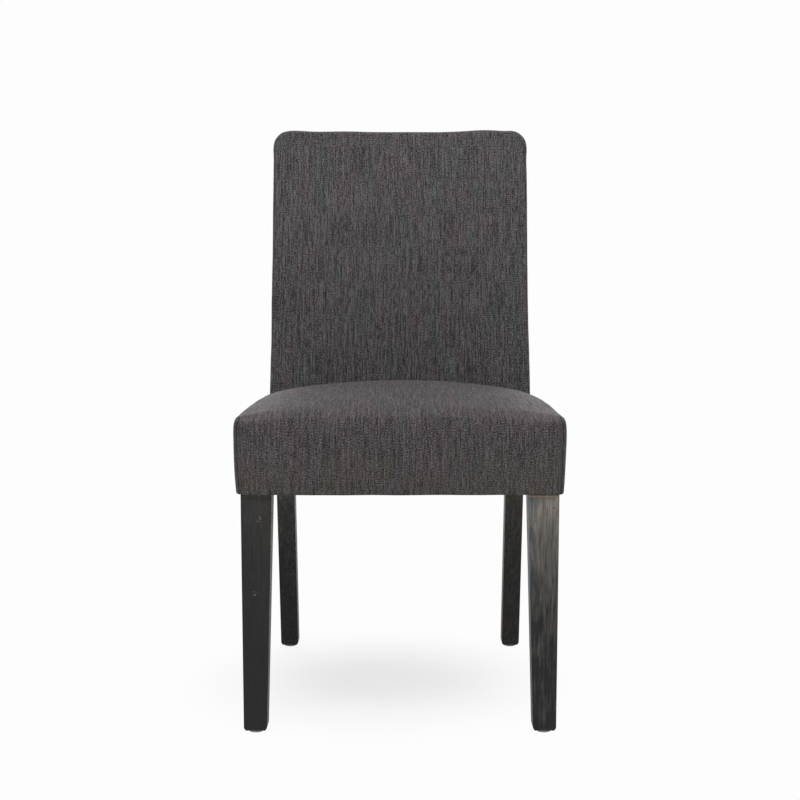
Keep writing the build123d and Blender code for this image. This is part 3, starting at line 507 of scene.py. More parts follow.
give(
    frame_timber,
    "front_rail",
    "rear_rail",
    "left_side_rail",
    "right_side_rail",
    "left_back_stile",
    "right_back_stile",
    "back_top_rail",
    "back_bottom_rail",
    "front_left_corner_block",
    "front_right_corner_block",
)
give(dowel_timber, "seat_frame_dowels", "back_frame_dowels")
give(
    woven_strap_material("webbing_weave"),
    "seat_webbing_lengthwise",
    "seat_webbing_crosswise",
    "back_webbing",
)
give(pressed_board("pressed_board"), "back_board")
give(moulded_plastic("glide_plastic"), "leg_glides")
give(
    steel,
    "glide_nails",
    "leg_hanger_bolts",
    "hanger_bolt_washers",
    "hanger_bolt_nuts",
    "rear_leg_bolts",
    "rear_leg_washers",
    "rear_leg_inserts",
    "corner_block_screws",
    "stile_screws",
)


# Upholstery meshes: a grid over the sides of a box, whose rim and corners are rounded afterwards
def lines(stops, step):
    """Places from the first stop to the last, through each stop and evenly spaced between two."""
    places = [stops[0]]
    for start, end in zip(stops, stops[1:]):
        count = max(1, round((end - start) / step))
        places += [start + (end - start) * (n + 1) / count for n in range(count)]
    return places


# The sides of the box. On the back, whose face looks forward, FRONT is the top.
FACE, FRONT, LEFT, RIGHT, UNDER, END = range(6)


def grid_sides(xs, ys, ws, keep):
    """Points and quads of a box's sides. keep(side, x, y, w) says which quads stay, by their middles."""
    index = {}
    points = []
    quads = []
    sides = []

    def corner(i, j, k):
        if (i, j, k) not in index:
            index[(i, j, k)] = len(points)
            points.append((xs[i], ys[j], ws[k]))
        return index[(i, j, k)]

    def quad(side, a, b, c, d):
        start = (xs[a[0]], ys[a[1]], ws[a[2]])
        end = (xs[c[0]], ys[c[1]], ws[c[2]])
        middle = [(first + second) / 2 for first, second in zip(start, end)]
        if keep(side, *middle):
            quads.append([corner(*a), corner(*b), corner(*c), corner(*d)])
            sides.append(side)

    last_x, last_y, last_w = len(xs) - 1, len(ys) - 1, len(ws) - 1
    for i in range(last_x):
        for j in range(last_y):
            quad(FACE, (i, j, last_w), (i + 1, j, last_w), (i + 1, j + 1, last_w), (i, j + 1, last_w))
            quad(UNDER, (i, j, 0), (i, j + 1, 0), (i + 1, j + 1, 0), (i + 1, j, 0))
        for k in range(last_w):
            quad(FRONT, (i, 0, k), (i + 1, 0, k), (i + 1, 0, k + 1), (i, 0, k + 1))
            quad(END, (i, last_y, k), (i, last_y, k + 1), (i + 1, last_y, k + 1), (i + 1, last_y, k))
    for j in range(last_y):
        for k in range(last_w):
            quad(LEFT, (0, j, k), (0, j, k + 1), (0, j + 1, k + 1), (0, j + 1, k))
            quad(RIGHT, (last_x, j, k), (last_x, j + 1, k), (last_x, j + 1, k + 1), (last_x, j, k + 1))
    return np.array(points), quads, sides


def round_corners(flat, half, radius):
    """Plan places with two corners rounded, how far in each place is, and which way is out."""
    moved = flat[:, :2].copy()
    inner = np.stack([np.abs(moved[:, 0]) - (half - radius), radius - moved[:, 1]], 1)
    corner = (inner > 0).all(1)
    reach = inner[corner].max(1)
    length = np.maximum(np.linalg.norm(inner[corner], axis=1), TINY)
    pulled = inner[corner] * (reach / length)[:, None]
    moved[corner, 0] = np.sign(moved[corner, 0]) * (half - radius + pulled[:, 0])
    moved[corner, 1] = radius - pulled[:, 1]
    outward = np.zeros_like(moved)
    side_gap = half - np.abs(moved[:, 0])
    front_gap = moved[:, 1].copy()
    inset = np.minimum(side_gap, front_gap)
    to_side = side_gap < front_gap
    outward[to_side, 0] = np.sign(moved[to_side, 0])
    outward[~to_side, 1] = -1
    inset[corner] = radius - reach
    outward[corner, 0] = np.sign(moved[corner, 0]) * pulled[:, 0]
    outward[corner, 1] = -pulled[:, 1]
    outward[corner] /= np.maximum(np.linalg.norm(outward[corner], axis=1), TINY)[:, None]
    return moved, inset, outward


def round_rim(inset, depth, radius):
    """New inset and depth of places near a rim, both measured from its sharp edge."""
    radius = np.broadcast_to(radius, inset.shape)
    gap = np.stack([radius - inset, radius - depth], 1)
    near = (gap > 0).all(1)
    length = np.maximum(np.linalg.norm(gap[near], axis=1), TINY)
    gap[near] *= (gap[near].max(1) / length)[:, None]
    inset, depth = inset.copy(), depth.copy()
    inset[near] = radius[near] - gap[near, 0]
    depth[near] = radius[near] - gap[near, 1]
    return inset, depth


def rounded_box(flat, half, thickness, corner_radius, face_radii, under_radius):
    """The grid's flat places wrapped round a box. face_radii are those of the front and of the sides."""
    plan, inset, outward = round_corners(flat, half, corner_radius)
    front_radius, side_radius = face_radii
    rim_radius = front_radius + (side_radius - front_radius) * outward[:, 0] ** 2
    face_inset, from_face = round_rim(inset, thickness - flat[:, 2], rim_radius)
    plan += outward * (inset - face_inset)[:, None]
    under_inset, from_under = round_rim(face_inset, thickness - from_face, under_radius)
    plan += outward * (face_inset - under_inset)[:, None]
    return np.column_stack([plan, from_under])


def eased(value, start, run):
    """0 up to the start and 1 past the run, with a smooth rise between them."""
    share = np.clip((value - start) / run, 0, 1)
    return share * share * (3 - 2 * share)


def through_three(share, first, middle, last, middle_share=0.5):
    """A parabola through three values, at 0, at a middle share and at 1."""
    low = (share - middle_share) * (share - 1) / middle_share
    mid = share * (share - 1) / (middle_share * (middle_share - 1))
    top = share * (share - middle_share) / (1 - middle_share)
    return first * low + middle * mid + last * top


def linked(name, data):
    """A new object in the scene."""
    made = bpy.data.objects.new(name, data)
    scene.collection.objects.link(made)
    return made


def new_piece(name, points, quads, sides, flat):
    """A mesh object that keeps each point's flat place and each face's side."""
    mesh = bpy.data.meshes.new(name)
    mesh.from_pydata([tuple(p) for p in points], [], quads)
    place = mesh.attributes.new("flat", "FLOAT_VECTOR", "POINT")
    place.data.foreach_set("vector", np.asarray(flat, np.float32).ravel())
    side = mesh.attributes.new("side", "INT", "FACE")
    side.data.foreach_set("value", np.array(sides, np.int32))
    mesh.shade_smooth()
    return linked(name, mesh)


def read_vectors(items, key):
    values = np.zeros(len(items) * 3, np.float32)
    items.foreach_get(key, values)
    return values.reshape(-1, 3).astype(float)


def read_numbers(items, key):
    values = np.zeros(len(items), np.int32)
    items.foreach_get(key, values)
    return values


def points_of(mesh):
    return read_vectors(mesh.vertices, "co")


def normals_of(mesh):
    return read_vectors(mesh.vertices, "normal")


def flat_places(mesh):
    return read_vectors(mesh.attributes["flat"].data, "vector")


def set_points(mesh, places):
    mesh.vertices.foreach_set("co", places.astype(np.float32).ravel())
    mesh.update()


def swell(piece, held):
    """Blows the cover up as simulated cloth. held says which points stay in place."""
    mesh = piece.data
    rest = points_of(mesh)
    group = piece.vertex_groups.new(name="held")
    group.add(np.nonzero(held)[0].tolist(), 1.0, "REPLACE")
    modifier = piece.modifiers.new("swell", "CLOTH")
    settings = modifier.settings
    settings.quality = 6
    settings.mass = 0.3
    settings.air_damping = 2.0
    settings.tension_stiffness = 25
    settings.compression_stiffness = 12
    settings.shear_stiffness = 8
    settings.bending_stiffness = 3.0
    settings.vertex_group_mass = "held"
    settings.pin_stiffness = 2.0
    settings.use_pressure = True
    settings.uniform_pressure_force = SWELL_PRESSURE
    settings.effector_weights.gravity = 0.0
    modifier.collision_settings.use_collision = False
    modifier.point_cache.frame_start = 1
    modifier.point_cache.frame_end = SWELL_FRAMES
    for number in range(1, SWELL_FRAMES + 1):
        scene.frame_set(number)
    evaluated = piece.evaluated_get(bpy.context.evaluated_depsgraph_get())
    moved = points_of(evaluated.data)
    piece.modifiers.remove(modifier)
    scene.frame_set(1)
    push = moved - rest
    length = np.linalg.norm(push, axis=1)
    push *= (SWELL_LIMIT / (SWELL_LIMIT + length))[:, None]
    set_points(mesh, rest + push)


def subdivide(piece):
    """One level of subdivision, applied."""
    modifier = piece.modifiers.new("subdivide", "SUBSURF")
    modifier.levels = 1
    modifier.render_levels = 1
    modifier.boundary_smooth = "PRESERVE_CORNERS"
    graph = bpy.context.evaluated_depsgraph_get()
    evaluated = piece.evaluated_get(graph)
    mesh = bpy.data.meshes.new_from_object(evaluated, preserve_all_data_layers=True, depsgraph=graph)
    piece.modifiers.remove(modifier)
    piece.data = mesh
    mesh.shade_smooth()
    return mesh


def unevenness(places, size, seed):
    """Slow, seeded ups and downs from -1 to 1 at each place."""
    shift = Vector((seed * 3.1, seed * 1.7, seed * 0.9))
    return np.array([noise.noise(Vector(p) / size + shift) for p in places])


def summed_waves(places, waves):
    return sum(unevenness(places, size, seed) * height for size, seed, height in waves)


def write_float(mesh, name, values):
    attribute = mesh.attributes.new(name, "FLOAT", "POINT")
    attribute.data.foreach_set("value", values.astype(np.float32))


def write_weave(mesh, rule):
    """Weave places for each face corner: rule(side, flat places) gives across, along and a panel shift."""
    flat = flat_places(mesh)
    sides = read_numbers(mesh.attributes["side"].data, "value")
    corner_points = read_numbers(mesh.loops, "vertex_index")
    corner_sides = np.repeat(sides, read_numbers(mesh.polygons, "loop_total"))
    weave = np.zeros((len(mesh.loops), 3))
    for side in np.unique(corner_sides):
        chosen = corner_sides == side
        weave[chosen] = rule(int(side), flat[corner_points[chosen]])
    attribute = mesh.attributes.new("weave", "FLOAT_VECTOR", "CORNER")
    attribute.data.foreach_set("vector", weave.astype(np.float32).ravel())


def sew(mesh, distance, along, depth, width, pucker, seed):
    """Presses a seam in with gathers beside it, and gives the painted shade of its groove for the shader.
    """
    places = points_of(mesh)
    normals = normals_of(mesh)
    groove = np.exp(-((distance / width) ** 2))
    drift = GATHER_DRIFT * unevenness(places, GATHER_DRIFT_SIZE, seed)
    ripple = np.sin(along / GATHER_PITCH * 2 * math.pi + drift)
    gathers = ripple * np.exp(-np.abs(distance) / GATHER_REACH) * (1 - groove)
    set_points(mesh, places + normals * (pucker * gathers - depth * groove)[:, None])
    return np.exp(-((distance / SEAM_SHADE_WIDTH) ** 2))


# Seat
seat_low, seat_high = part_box("seat_cover")
back_low, back_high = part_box("back_cover")
seat_bottom = seat_low.z
seat_front = seat_low.y
seat_length = seat_high.y - seat_front + SEAT_REAR_OVERLAP
seat_thickness = SEAT_EDGE_HEIGHT - seat_bottom


def seat_shape(flat):
    """The seat's rounded box with its crown, full sides and narrower rear, in its place."""
    radii = (SEAT_FRONT_RADIUS, SEAT_SIDE_RADIUS)
    box = rounded_box(flat, SEAT_HALF, seat_thickness, SEAT_CORNER_RADIUS, radii, SEAT_HEM_RADIUS)
    x, y, w = box.T
    share = y / seat_length
    half = SEAT_HALF - SEAT_REAR_NARROWING * y / SEAT_NARROWING_RUN
    x = x * half / SEAT_HALF
    across = x / half
    fullest = SEAT_FULLEST_SHARE * seat_thickness
    below = np.clip((fullest - w) / fullest, 0, 1) ** 2 * SEAT_SIDE_TUCK
    above = np.clip((w - fullest) / (seat_thickness - fullest), 0, 1) ** 2 * SEAT_SHOULDER_TUCK
    x -= across * (below + above)
    crowns = [height - SEAT_EDGE_HEIGHT for height in SEAT_CROWNS]
    crown = through_three(share, *crowns, SEAT_CROWN_SHARE)
    side_lift = through_three(share, *SEAT_SIDE_LIFTS, SEAT_LIFT_SHARE)
    lift = side_lift + (crown - side_lift) * (1 - np.abs(across) ** SEAT_CROWN_POWER)
    lift = lift * eased(w / seat_thickness, 0.45, 0.55)
    return np.column_stack([x, y + seat_front, w + lift + seat_bottom])


# What the seat's yarns stand out by at its edges, and how much more they do on top. Then the painted light
# on the seat's top at its ends and its rear, the painted light at its hem, and the painted shade that
# darkens the front higher up.
EDGE_NAP = -0.15
TOP_NAP = 1.15
END_PAINTED_LIGHT = 0.22
REAR_PAINTED_LIGHT = 0.05
HEM_PAINTED_LIGHT = 0.035
FRONT_PAINTED_SHADE = 0.10


def seat_nap(mesh, flat):
    """The yarns stand out more on top, and most towards the rear."""
    facing_up = eased(normals_of(mesh)[:, 2], 0.85, 0.13)
    behind_edge = eased(flat[:, 1], 0.01, 0.05)
    rear = eased(flat[:, 1] / seat_length, 0.12, 0.38)
    return facing_up * (TOP_NAP * behind_edge + rear) + EDGE_NAP


def seat_painted_light(mesh, flat):
    """Painted light on top near the sides and the rear, and painted shade high on the front."""
    side = np.abs(flat[:, 0]) / SEAT_HALF
    ends = eased(side, 0.62, 0.25)
    rear = eased(flat[:, 1] / seat_length, 0.45, 0.3)
    top = END_PAINTED_LIGHT * ends + REAR_PAINTED_LIGHT * rear * (1 + side)
    upright = HEM_PAINTED_LIGHT - FRONT_PAINTED_SHADE * flat[:, 2] / seat_thickness * (1 - 0.6 * side)
    facing_up = eased(normals_of(mesh)[:, 2] - 0.55 + 0.25 * side, 0.0, 0.3)
    return upright + (top - upright) * facing_up


def make_seat():
    xs = lines((-SEAT_HALF, SEAM_STEP - SEAT_HALF, SEAT_HALF - SEAM_STEP, SEAT_HALF), GRID_STEP)
    ys = lines((0, SEAM_STEP, seat_length), GRID_STEP)
    ws = lines((0, SEAM_STEP, seat_thickness - SEAM_STEP, seat_thickness), GRID_STEP)

    def keep(side, x, y, w):
        if side == UNDER:
            return y < HEM_WIDTH or abs(x) > SEAT_HALF - HEM_WIDTH
        return side != END

    flat, quads, sides = grid_sides(xs, ys, ws, keep)
    piece = new_piece("seat_upholstery", seat_shape(flat), quads, sides, flat)
    rim = np.abs(np.abs(flat[:, 0]) - SEAT_HALF) < SAME_PLACE
    seam = rim & ((flat[:, 1] < SAME_PLACE) | (flat[:, 2] > seat_thickness - SAME_PLACE))
    ends = (flat[:, 2] < SEAM_STEP / 2) | (flat[:, 1] > seat_length - SEAM_STEP)
    swell(piece, seam | ends)
    mesh = subdivide(piece)
    flat = flat_places(mesh)
    places = points_of(mesh)
    free = eased(flat[:, 2], 0.0, HEM_FADE)
    wave = summed_waves(places, SEAT_WAVES)
    moved = places + normals_of(mesh) * (wave * free)[:, None]
    level = np.column_stack([places[:, :2], 0 * places[:, 2]])
    hem_wave = unevenness(level, HEM_WAVE_SIZE, HEM_WAVE_SEED) + HEM_WAVE_MIDDLE
    moved[:, 2] += hem_wave * HEM_WAVE_HEIGHT * (1 - free)
    set_points(mesh, moved)

    side_gap = SEAT_HALF - np.abs(flat[:, 0])
    front_gap = flat[:, 1]
    top_gap = seat_thickness - flat[:, 2]
    corner_seam = np.hypot(side_gap, front_gap)
    top_seam = np.hypot(side_gap, top_gap)
    corner_seam_shade = sew(
        mesh, corner_seam, flat[:, 2], depth=0.0020, width=0.0024, pucker=0.00018, seed=3
    )
    top_seam_shade = sew(mesh, top_seam, flat[:, 1], depth=0.0014, width=0.0022, pucker=0.00018, seed=4)
    # Painted shade in the seat's seam grooves
    write_float(mesh, "seam", np.maximum(corner_seam_shade, top_seam_shade))
    write_float(mesh, "nap", seat_nap(mesh, flat))
    write_float(mesh, "painted_light", seat_painted_light(mesh, flat))

    def weave(side, spot):
        x, y, w = spot.T
        if side in (LEFT, RIGHT):
            return np.column_stack([y + 0.6 * side, w, 0 * x + side])
        if side == FRONT:
            return np.column_stack([x, w - seat_thickness, 0 * x])
        if side == UNDER:
            return np.column_stack([x, -w - y, 0 * x + 5])
        return np.column_stack([x, y, 0 * x])

    write_weave(mesh, weave)
    mesh.materials.append(seat_cloth)
    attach(piece, "root")
    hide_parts("seat_cover", "seat_wadding", "seat_foam")


# Back
back_bottom = back_low.z
back_rise = back_high.z - back_bottom
rake_stretch = math.hypot(1, BACK_RAKE)
back_half = back_high.x + BACK_SIDE_EXTRA
back_foot = back_high.y - BACK_RAKE * (back_rise - BACK_REAR_RADIUS) - BACK_THICKNESS * rake_stretch
back_foot += BACK_REAR_RADIUS * (rake_stretch - 1)


def back_shape(flat):
    """The back's rounded box, crowned in front, tapered up and raked, in its place."""
    radii = (BACK_FACE_RADIUS, BACK_FACE_RADIUS)
    box = rounded_box(flat, back_half, BACK_THICKNESS, BACK_CORNER_RADIUS, radii, BACK_REAR_RADIUS)
    x, drop, w = box.T
    height = back_rise - drop
    share = height / back_rise
    x = x * (1 - BACK_SIDE_TAPER * share / back_half)
    across = x / back_half
    crown = through_three(share, *BACK_CROWNS) * (1 - across**2)
    crown *= eased(w / BACK_THICKNESS, 0.5, 0.5)
    wave = TOP_EDGE_RISE
    for middle, spread, rise in TOP_EDGE_BUMPS:
        wave = wave + rise * np.exp(-(((across - middle) / spread) ** 2))
    height = height + wave * eased(share, 0.9, 0.1)
    y = back_foot + BACK_RAKE * height + (BACK_THICKNESS - w) * rake_stretch - crown
    return np.column_stack([x, y, height + back_bottom])


# The back's yarns stand out evenly. Its cloth has painted light at the top, which fades further down and
# turns to painted shade low down by the seat.
BACK_NAP = 0.8
BACK_TOP_PAINTED_LIGHT = 0.054
BACK_PAINTED_SHADE_FALL = 0.12


def make_back():
    seam = BACK_SEAM_INSET
    inside = BACK_SEAM_INSET + SEAM_STEP
    left_stops = (-back_half, seam - back_half, inside - back_half)
    right_stops = (back_half - inside, back_half - seam, back_half)
    xs = lines((*left_stops, *right_stops), GRID_STEP)
    ys = lines((0, seam, inside, back_rise), GRID_STEP)
    ws = lines((0, SEAM_STEP, BACK_THICKNESS), GRID_STEP)
    hidden = seat_high.z - back_bottom - BACK_BEHIND_SEAT

    def keep(side, x, y, w):
        near_side = abs(x) > back_half - HEM_WIDTH
        if side == UNDER:
            return near_side or y < HEM_WIDTH
        if side == END:
            return near_side or w < HEM_WIDTH
        return side != FACE or near_side or y < back_rise - hidden

    flat, quads, sides = grid_sides(xs, ys, ws, keep)
    for number, (quad, side) in enumerate(zip(quads, sides)):
        if side == FACE:
            middle = flat[quad].mean(0)
            if middle[1] < BACK_SEAM_INSET:
                sides[number] = FRONT
            elif abs(middle[0]) > back_half - BACK_SEAM_INSET:
                sides[number] = RIGHT if middle[0] > 0 else LEFT
    piece = new_piece("back_upholstery", back_shape(flat), quads, sides, flat)
    inset = np.minimum(back_half - np.abs(flat[:, 0]), flat[:, 1])
    on_face = flat[:, 2] > BACK_THICKNESS - SAME_PLACE
    stitched = on_face & (np.abs(inset - BACK_SEAM_INSET) < SAME_PLACE)
    ends = (flat[:, 2] < SEAM_STEP / 2) | (flat[:, 1] > back_rise - SEAM_STEP)
    swell(piece, stitched | ends)
    mesh = subdivide(piece)
    flat = flat_places(mesh)
    places = points_of(mesh)
    free = eased(flat[:, 2], 0.0, HEM_FADE)
    wave = summed_waves(places, BACK_WAVES)
    set_points(mesh, places + normals_of(mesh) * (wave * free)[:, None])

    side_gap = back_half - np.abs(flat[:, 0])
    from_face = BACK_THICKNESS - flat[:, 2]
    inset = np.minimum(side_gap, flat[:, 1])
    distance = np.hypot(inset - BACK_SEAM_INSET, from_face)
    run = np.where(flat[:, 1] < side_gap, flat[:, 0], flat[:, 1])
    back_seam_shade = sew(mesh, distance, run, depth=0.0007, width=0.0020, pucker=0.00015, seed=7)
    # A faint painted shade in the back's seam groove
    write_float(mesh, "seam", BACK_SEAM_SHADE * back_seam_shade)
    write_float(mesh, "nap", np.full(len(back_seam_shade), BACK_NAP))
    # Painted light at the top of the back, falling to painted shade low down by the seat
    write_float(mesh, "painted_light", BACK_TOP_PAINTED_LIGHT - BACK_PAINTED_SHADE_FALL * flat[:, 1] / back_rise)

    def weave(side, spot):
        x, drop, w = spot.T
        if side in (LEFT, RIGHT):
            return np.column_stack([w + 0.9 * side, -drop, 0 * x + side])
        if side == FRONT:
            return np.column_stack([x, w + 0.3 - drop, 0 * x + 3])
        return np.column_stack([x, -drop, 0 * x + 7])

    write_weave(mesh, weave)
    mesh.materials.append(cloth)
    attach(piece, "root")
    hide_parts("back_cover", "back_wadding", "back_foam")


# Outside back: a flat panel that is blind stitched inside the cover's turned edge
PANEL_MARGIN = 0.009
PANEL_LIFT = 0.0007
PANEL_EDGE_WIDTH = 0.004
PANEL_EDGE_DROP = 0.0016
PANEL_SWELL = 0.0006
PANEL_SWELL_RUN = 0.05
PANEL_WAVES = ((0.12, 8, 0.0006),)
PANEL_WAVE_RUN = 0.02
PANEL_RIPPLE_PITCH = 0.009
PANEL_RIPPLE_REACH = 0.008
PANEL_RIPPLE_HEIGHT = 0.0002
PANEL_EDGE_RIPPLE = 0.0001
PANEL_SEAM_SHADE_WIDTH = 0.0012
PANEL_NAP = 0.3


def make_outside_back():
    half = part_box("outside_back_panel")[1].x
    top = PANEL_MARGIN
    xs = lines((-half, SEAM_STEP - half, half - SEAM_STEP, half), GRID_STEP)
    ys = lines((top, top + SEAM_STEP, back_rise), GRID_STEP)
    flat = np.array([(x, y, 0.0) for y in ys for x in xs])
    count = len(xs)
    quads = [
        [j * count + i, (j + 1) * count + i, (j + 1) * count + i + 1, j * count + i + 1]
        for j in range(len(ys) - 1)
        for i in range(count - 1)
    ]
    inset = np.minimum(half - np.abs(flat[:, 0]), flat[:, 1] - top)
    turned = np.clip(1 - inset / PANEL_EDGE_WIDTH, 0, 1)
    rise = PANEL_LIFT - PANEL_EDGE_DROP * turned**2 + PANEL_SWELL * eased(inset, 0.0, PANEL_SWELL_RUN)
    height = back_rise - flat[:, 1]
    taper = 1 - BACK_SIDE_TAPER * height / back_rise / back_half
    places = np.column_stack(
        [
            flat[:, 0] * taper,
            back_foot + BACK_RAKE * height + (BACK_THICKNESS + rise) * rake_stretch,
            height + back_bottom,
        ]
    )
    piece = new_piece("outside_back", places, quads, [UNDER] * len(quads), flat)
    mesh = subdivide(piece)
    flat = flat_places(mesh)
    side_gap = half - np.abs(flat[:, 0])
    top_gap = flat[:, 1] - top
    inset = np.minimum(side_gap, top_gap)
    places = points_of(mesh)
    run = np.where(top_gap < side_gap, flat[:, 0], flat[:, 1])
    ripple = np.sin(run / PANEL_RIPPLE_PITCH * 2 * math.pi)
    wave = summed_waves(places, PANEL_WAVES)
    wave += ripple * PANEL_RIPPLE_HEIGHT * np.exp(-inset / PANEL_RIPPLE_REACH)
    places[:, 1] += wave * eased(inset, 0.0, PANEL_WAVE_RUN) + PANEL_EDGE_RIPPLE * ripple
    set_points(mesh, places)
    # A painted shade line along the panel's turned edge
    write_float(mesh, "seam", np.exp(-((inset / PANEL_SEAM_SHADE_WIDTH) ** 2)))
    write_float(mesh, "nap", np.full(len(inset), PANEL_NAP))

    def weave(side, spot):
        x, drop = spot.T[:2]
        return np.column_stack([x + 2.0, -drop, 0 * x + 9])

    write_weave(mesh, weave)
    mesh.materials.append(cloth)
    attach(piece, "root")
    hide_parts("outside_back_panel")


# Dust cover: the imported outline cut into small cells, which sag a little between the stapled edges
DUST_CELL = 0.008
DUST_SAG = 0.004
DUST_SAG_RUN = 0.12
DUST_WAVES = ((0.05, 9, 0.0008),)
DUST_WAVE_RUN = 0.03
STAPLE_WIDTH = 0.010
STAPLE_WIRE = 0.0009
STAPLE_BREADTH = STAPLE_WIRE * 1.4
STAPLE_ROUNDING = STAPLE_WIRE * 0.3
STAPLE_PITCH = 0.045
STAPLE_INSET = 0.007
STAPLE_FRONT_SHARE = 1.16
STAPLE_SIDE_MARGIN = 0.10
STAPLE_NARROWING_START = 0.06
STAPLE_FRONT_SKEW = 0.12
STAPLE_SIDE_SKEW = 0.15


def make_dust_cover():
    low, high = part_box("dust_cover")
    shell = bmesh.new()
    shell.from_mesh(nodes["dust_cover"].data)
    upper = [f for f in shell.faces if f.normal.z > -0.5]
    bmesh.ops.delete(shell, geom=upper, context="FACES")
    bmesh.ops.remove_doubles(shell, verts=shell.verts, dist=SAME_PLACE)
    for axis, start, end in ((0, low.x, high.x), (1, low.y, high.y)):
        count = round((end - start) / DUST_CELL)
        for number in range(1, count):
            spot = [0, 0, 0]
            spot[axis] = start + (end - start) * number / count
            normal = [0, 0, 0]
            normal[axis] = 1
            bmesh.ops.bisect_plane(
                shell,
                geom=shell.verts[:] + shell.edges[:] + shell.faces[:],
                plane_co=spot,
                plane_no=normal,
            )
    mesh = bpy.data.meshes.new("dust_cover_cloth")
    shell.to_mesh(mesh)
    shell.free()
    places = points_of(mesh)
    edge_gap = np.minimum(
        np.minimum(places[:, 0] - low.x, high.x - places[:, 0]),
        np.minimum(places[:, 1] - low.y, high.y - places[:, 1]),
    )
    sag = DUST_SAG * eased(edge_gap, 0.0, DUST_SAG_RUN)
    ripple = summed_waves(places, DUST_WAVES) * eased(edge_gap, 0.0, DUST_WAVE_RUN)
    places[:, 2] -= sag + ripple
    set_points(mesh, places)
    mesh.shade_smooth()
    mesh.materials.append(bonded)
    piece = linked("dust_cover_cloth", mesh)
    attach(piece, "root")
    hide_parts("dust_cover")
    staples = make_staples(low, high)


def make_staples(low, high):
    """Wire staples along the front and both sides of the dust cover."""
    block = bmesh.new()
    level = low.z - STAPLE_WIRE / 2
    spots = []
    run = high.x * STAPLE_FRONT_SHARE
    count = round(run / STAPLE_PITCH)
    for number in range(count + 1):
        x = -run / 2 + run * number / count
        spots.append((x, low.y + STAPLE_INSET, STAPLE_FRONT_SKEW * math.sin(number * 2.3)))
    run = high.y - low.y - 2 * STAPLE_SIDE_MARGIN
    count = round(run / STAPLE_PITCH)
    narrowing = SEAT_REAR_NARROWING / SEAT_NARROWING_RUN
    for number in range(count + 1):
        y = low.y + STAPLE_SIDE_MARGIN + run * number / count
        edge = high.x - STAPLE_INSET - narrowing * (y - low.y - STAPLE_NARROWING_START)
        for side in (-1, 1):
            skew = STAPLE_SIDE_SKEW * math.sin(number * 1.9 + side)
            spots.append((side * edge, y, math.pi / 2 + skew))
    for x, y, turn in spots:
        for vertex in bmesh.ops.create_cube(block, size=1.0)["verts"]:
            along = vertex.co.x * STAPLE_WIDTH
            beside = vertex.co.y * STAPLE_BREADTH
            vertex.co = (
                x + along * math.cos(turn) - beside * math.sin(turn),
                y + along * math.sin(turn) + beside * math.cos(turn),
                level + vertex.co.z * STAPLE_WIRE,
            )
    bmesh.ops.bevel(block, geom=block.edges[:], offset=STAPLE_ROUNDING, segments=2, affect="EDGES")
    mesh = bpy.data.meshes.new("dust_cover_staples")
    block.to_mesh(mesh)
    block.free()
    mesh.shade_smooth()
    mesh.materials.append(steel)
    piece = linked("dust_cover_staples", mesh)
    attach(piece, "root")
    return piece


make_seat()
make_back()
make_outside_back()
make_dust_cover()


# Stage: a pale floor that fades into the background, and soft light from above, in front and behind
FLOOR_RADIUS = 9.0
FLOOR_BOUNCED = (0.78, 0.78, 0.78, 1)
FLOOR_SEEN = (0.58, 0.58, 0.58, 1)
WHITE_LEVEL = 0.982
WORLD_LEVEL = 0.45

# The floor takes shadows near the chair, and glows more with the distance from it
SHADOW_SCALES = (1.70, 1.65, 1.0)
SHADOW_SHIFT = (0.07, -0.02, 0.0)
GLOW_START = 0.05
GLOW_END = 0.62
LEAST_GLOW = 0.66


def ray_share(tree):
    """1 for rays that show the background: from the camera, or through a gloss or glass."""
    path = tree.nodes.new("ShaderNodeLightPath")
    share = maths(tree, "MAXIMUM", path.outputs["Is Camera Ray"], path.outputs["Is Glossy Ray"])
    return maths(tree, "MAXIMUM", share, path.outputs["Is Transmission Ray"])


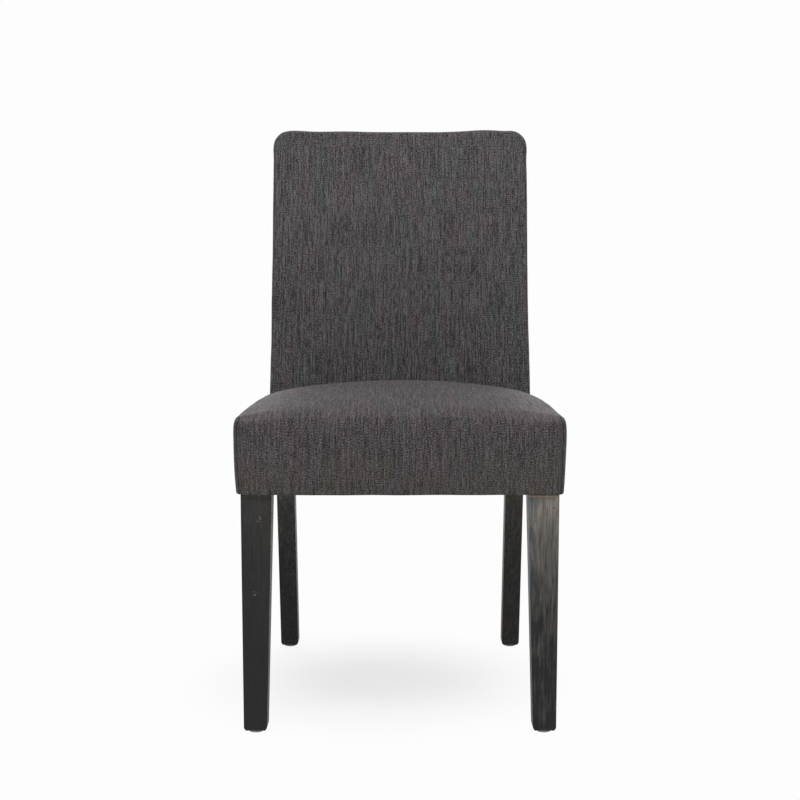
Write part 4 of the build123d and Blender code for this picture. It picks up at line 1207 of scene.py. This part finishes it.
def make_floor():
    bpy.ops.mesh.primitive_circle_add(vertices=96, radius=FLOOR_RADIUS, fill_type="NGON")
    floor = bpy.context.object
    floor.name = "studio_floor"
    material = bpy.data.materials.new("studio_floor")
    tree = cleared(material)
    output = tree.nodes.new("ShaderNodeOutputMaterial")
    lit = tree.nodes.new("ShaderNodeBsdfDiffuse")
    floor_tone = mixed(tree, ray_share(tree), FLOOR_BOUNCED, FLOOR_SEEN)
    tree.links.new(floor_tone, lit.inputs["Color"])
    glow = tree.nodes.new("ShaderNodeEmission")
    glow.inputs["Strength"].default_value = WHITE_LEVEL
    distance = tree.nodes.new("ShaderNodeVectorMath")
    distance.operation = "LENGTH"
    place = stretched(tree, placed(tree), SHADOW_SCALES, SHADOW_SHIFT)
    tree.links.new(place, distance.inputs[0])
    away = levels(tree, distance.outputs["Value"], GLOW_START, GLOW_END, LEAST_GLOW, 1.0, True)
    share = times(tree, away, ray_share(tree))
    both = tree.nodes.new("ShaderNodeMixShader")
    tree.links.new(share, both.inputs[0])
    tree.links.new(lit.outputs[0], both.inputs[1])
    tree.links.new(glow.outputs[0], both.inputs[2])
    tree.links.new(both.outputs[0], output.inputs["Surface"])
    floor.data.materials.append(material)


def make_world():
    world = bpy.data.worlds.new("studio")
    scene.world = world
    tree = cleared(world)
    output = tree.nodes.new("ShaderNodeOutputWorld")
    background = tree.nodes.new("ShaderNodeBackground")
    background.inputs["Color"].default_value = (1, 1, 1, 1)
    strength = levels(tree, ray_share(tree), 0.0, 1.0, WORLD_LEVEL, WHITE_LEVEL)
    tree.links.new(strength, background.inputs["Strength"])
    tree.links.new(background.outputs[0], output.inputs["Surface"])


def area_light(name, place, target, size, power):
    data = bpy.data.lights.new(name, "AREA")
    data.shape = "RECTANGLE"
    data.size, data.size_y = size
    data.energy = power
    light = linked(name, data)
    light.location = place
    light.rotation_euler = (Vector(target) - Vector(place)).to_track_quat("-Z", "Y").to_euler()
    light.visible_camera = False


make_floor()
make_world()
area_light("overhead_softbox", place=(0.0, -0.5, 2.5), target=(0, 0, 0.4), size=(2.2, 1.6), power=17)
area_light("front_softbox", place=(0.0, -1.45, 2.3), target=(0, 0, 0.7), size=(2.2, 1.0), power=39.5)
area_light("backdrop_glow", place=(0.0, 2.6, 1.1), target=(0, 0, 0.5), size=(3.8, 1.8), power=120)

lens = bpy.data.cameras.new("camera")
lens.sensor_width = SENSOR_MM
lens.lens = FOCAL_PIXELS / PICTURE_PIXELS * SENSOR_MM
lens.clip_end = CLIP_END
camera = linked("camera", lens)
camera.location = CAMERA_PLACE
camera.rotation_euler = (math.radians(90 - CAMERA_TILT_DEGREES), 0, 0)
scene.camera = camera

scene.view_settings.view_transform = "Standard"
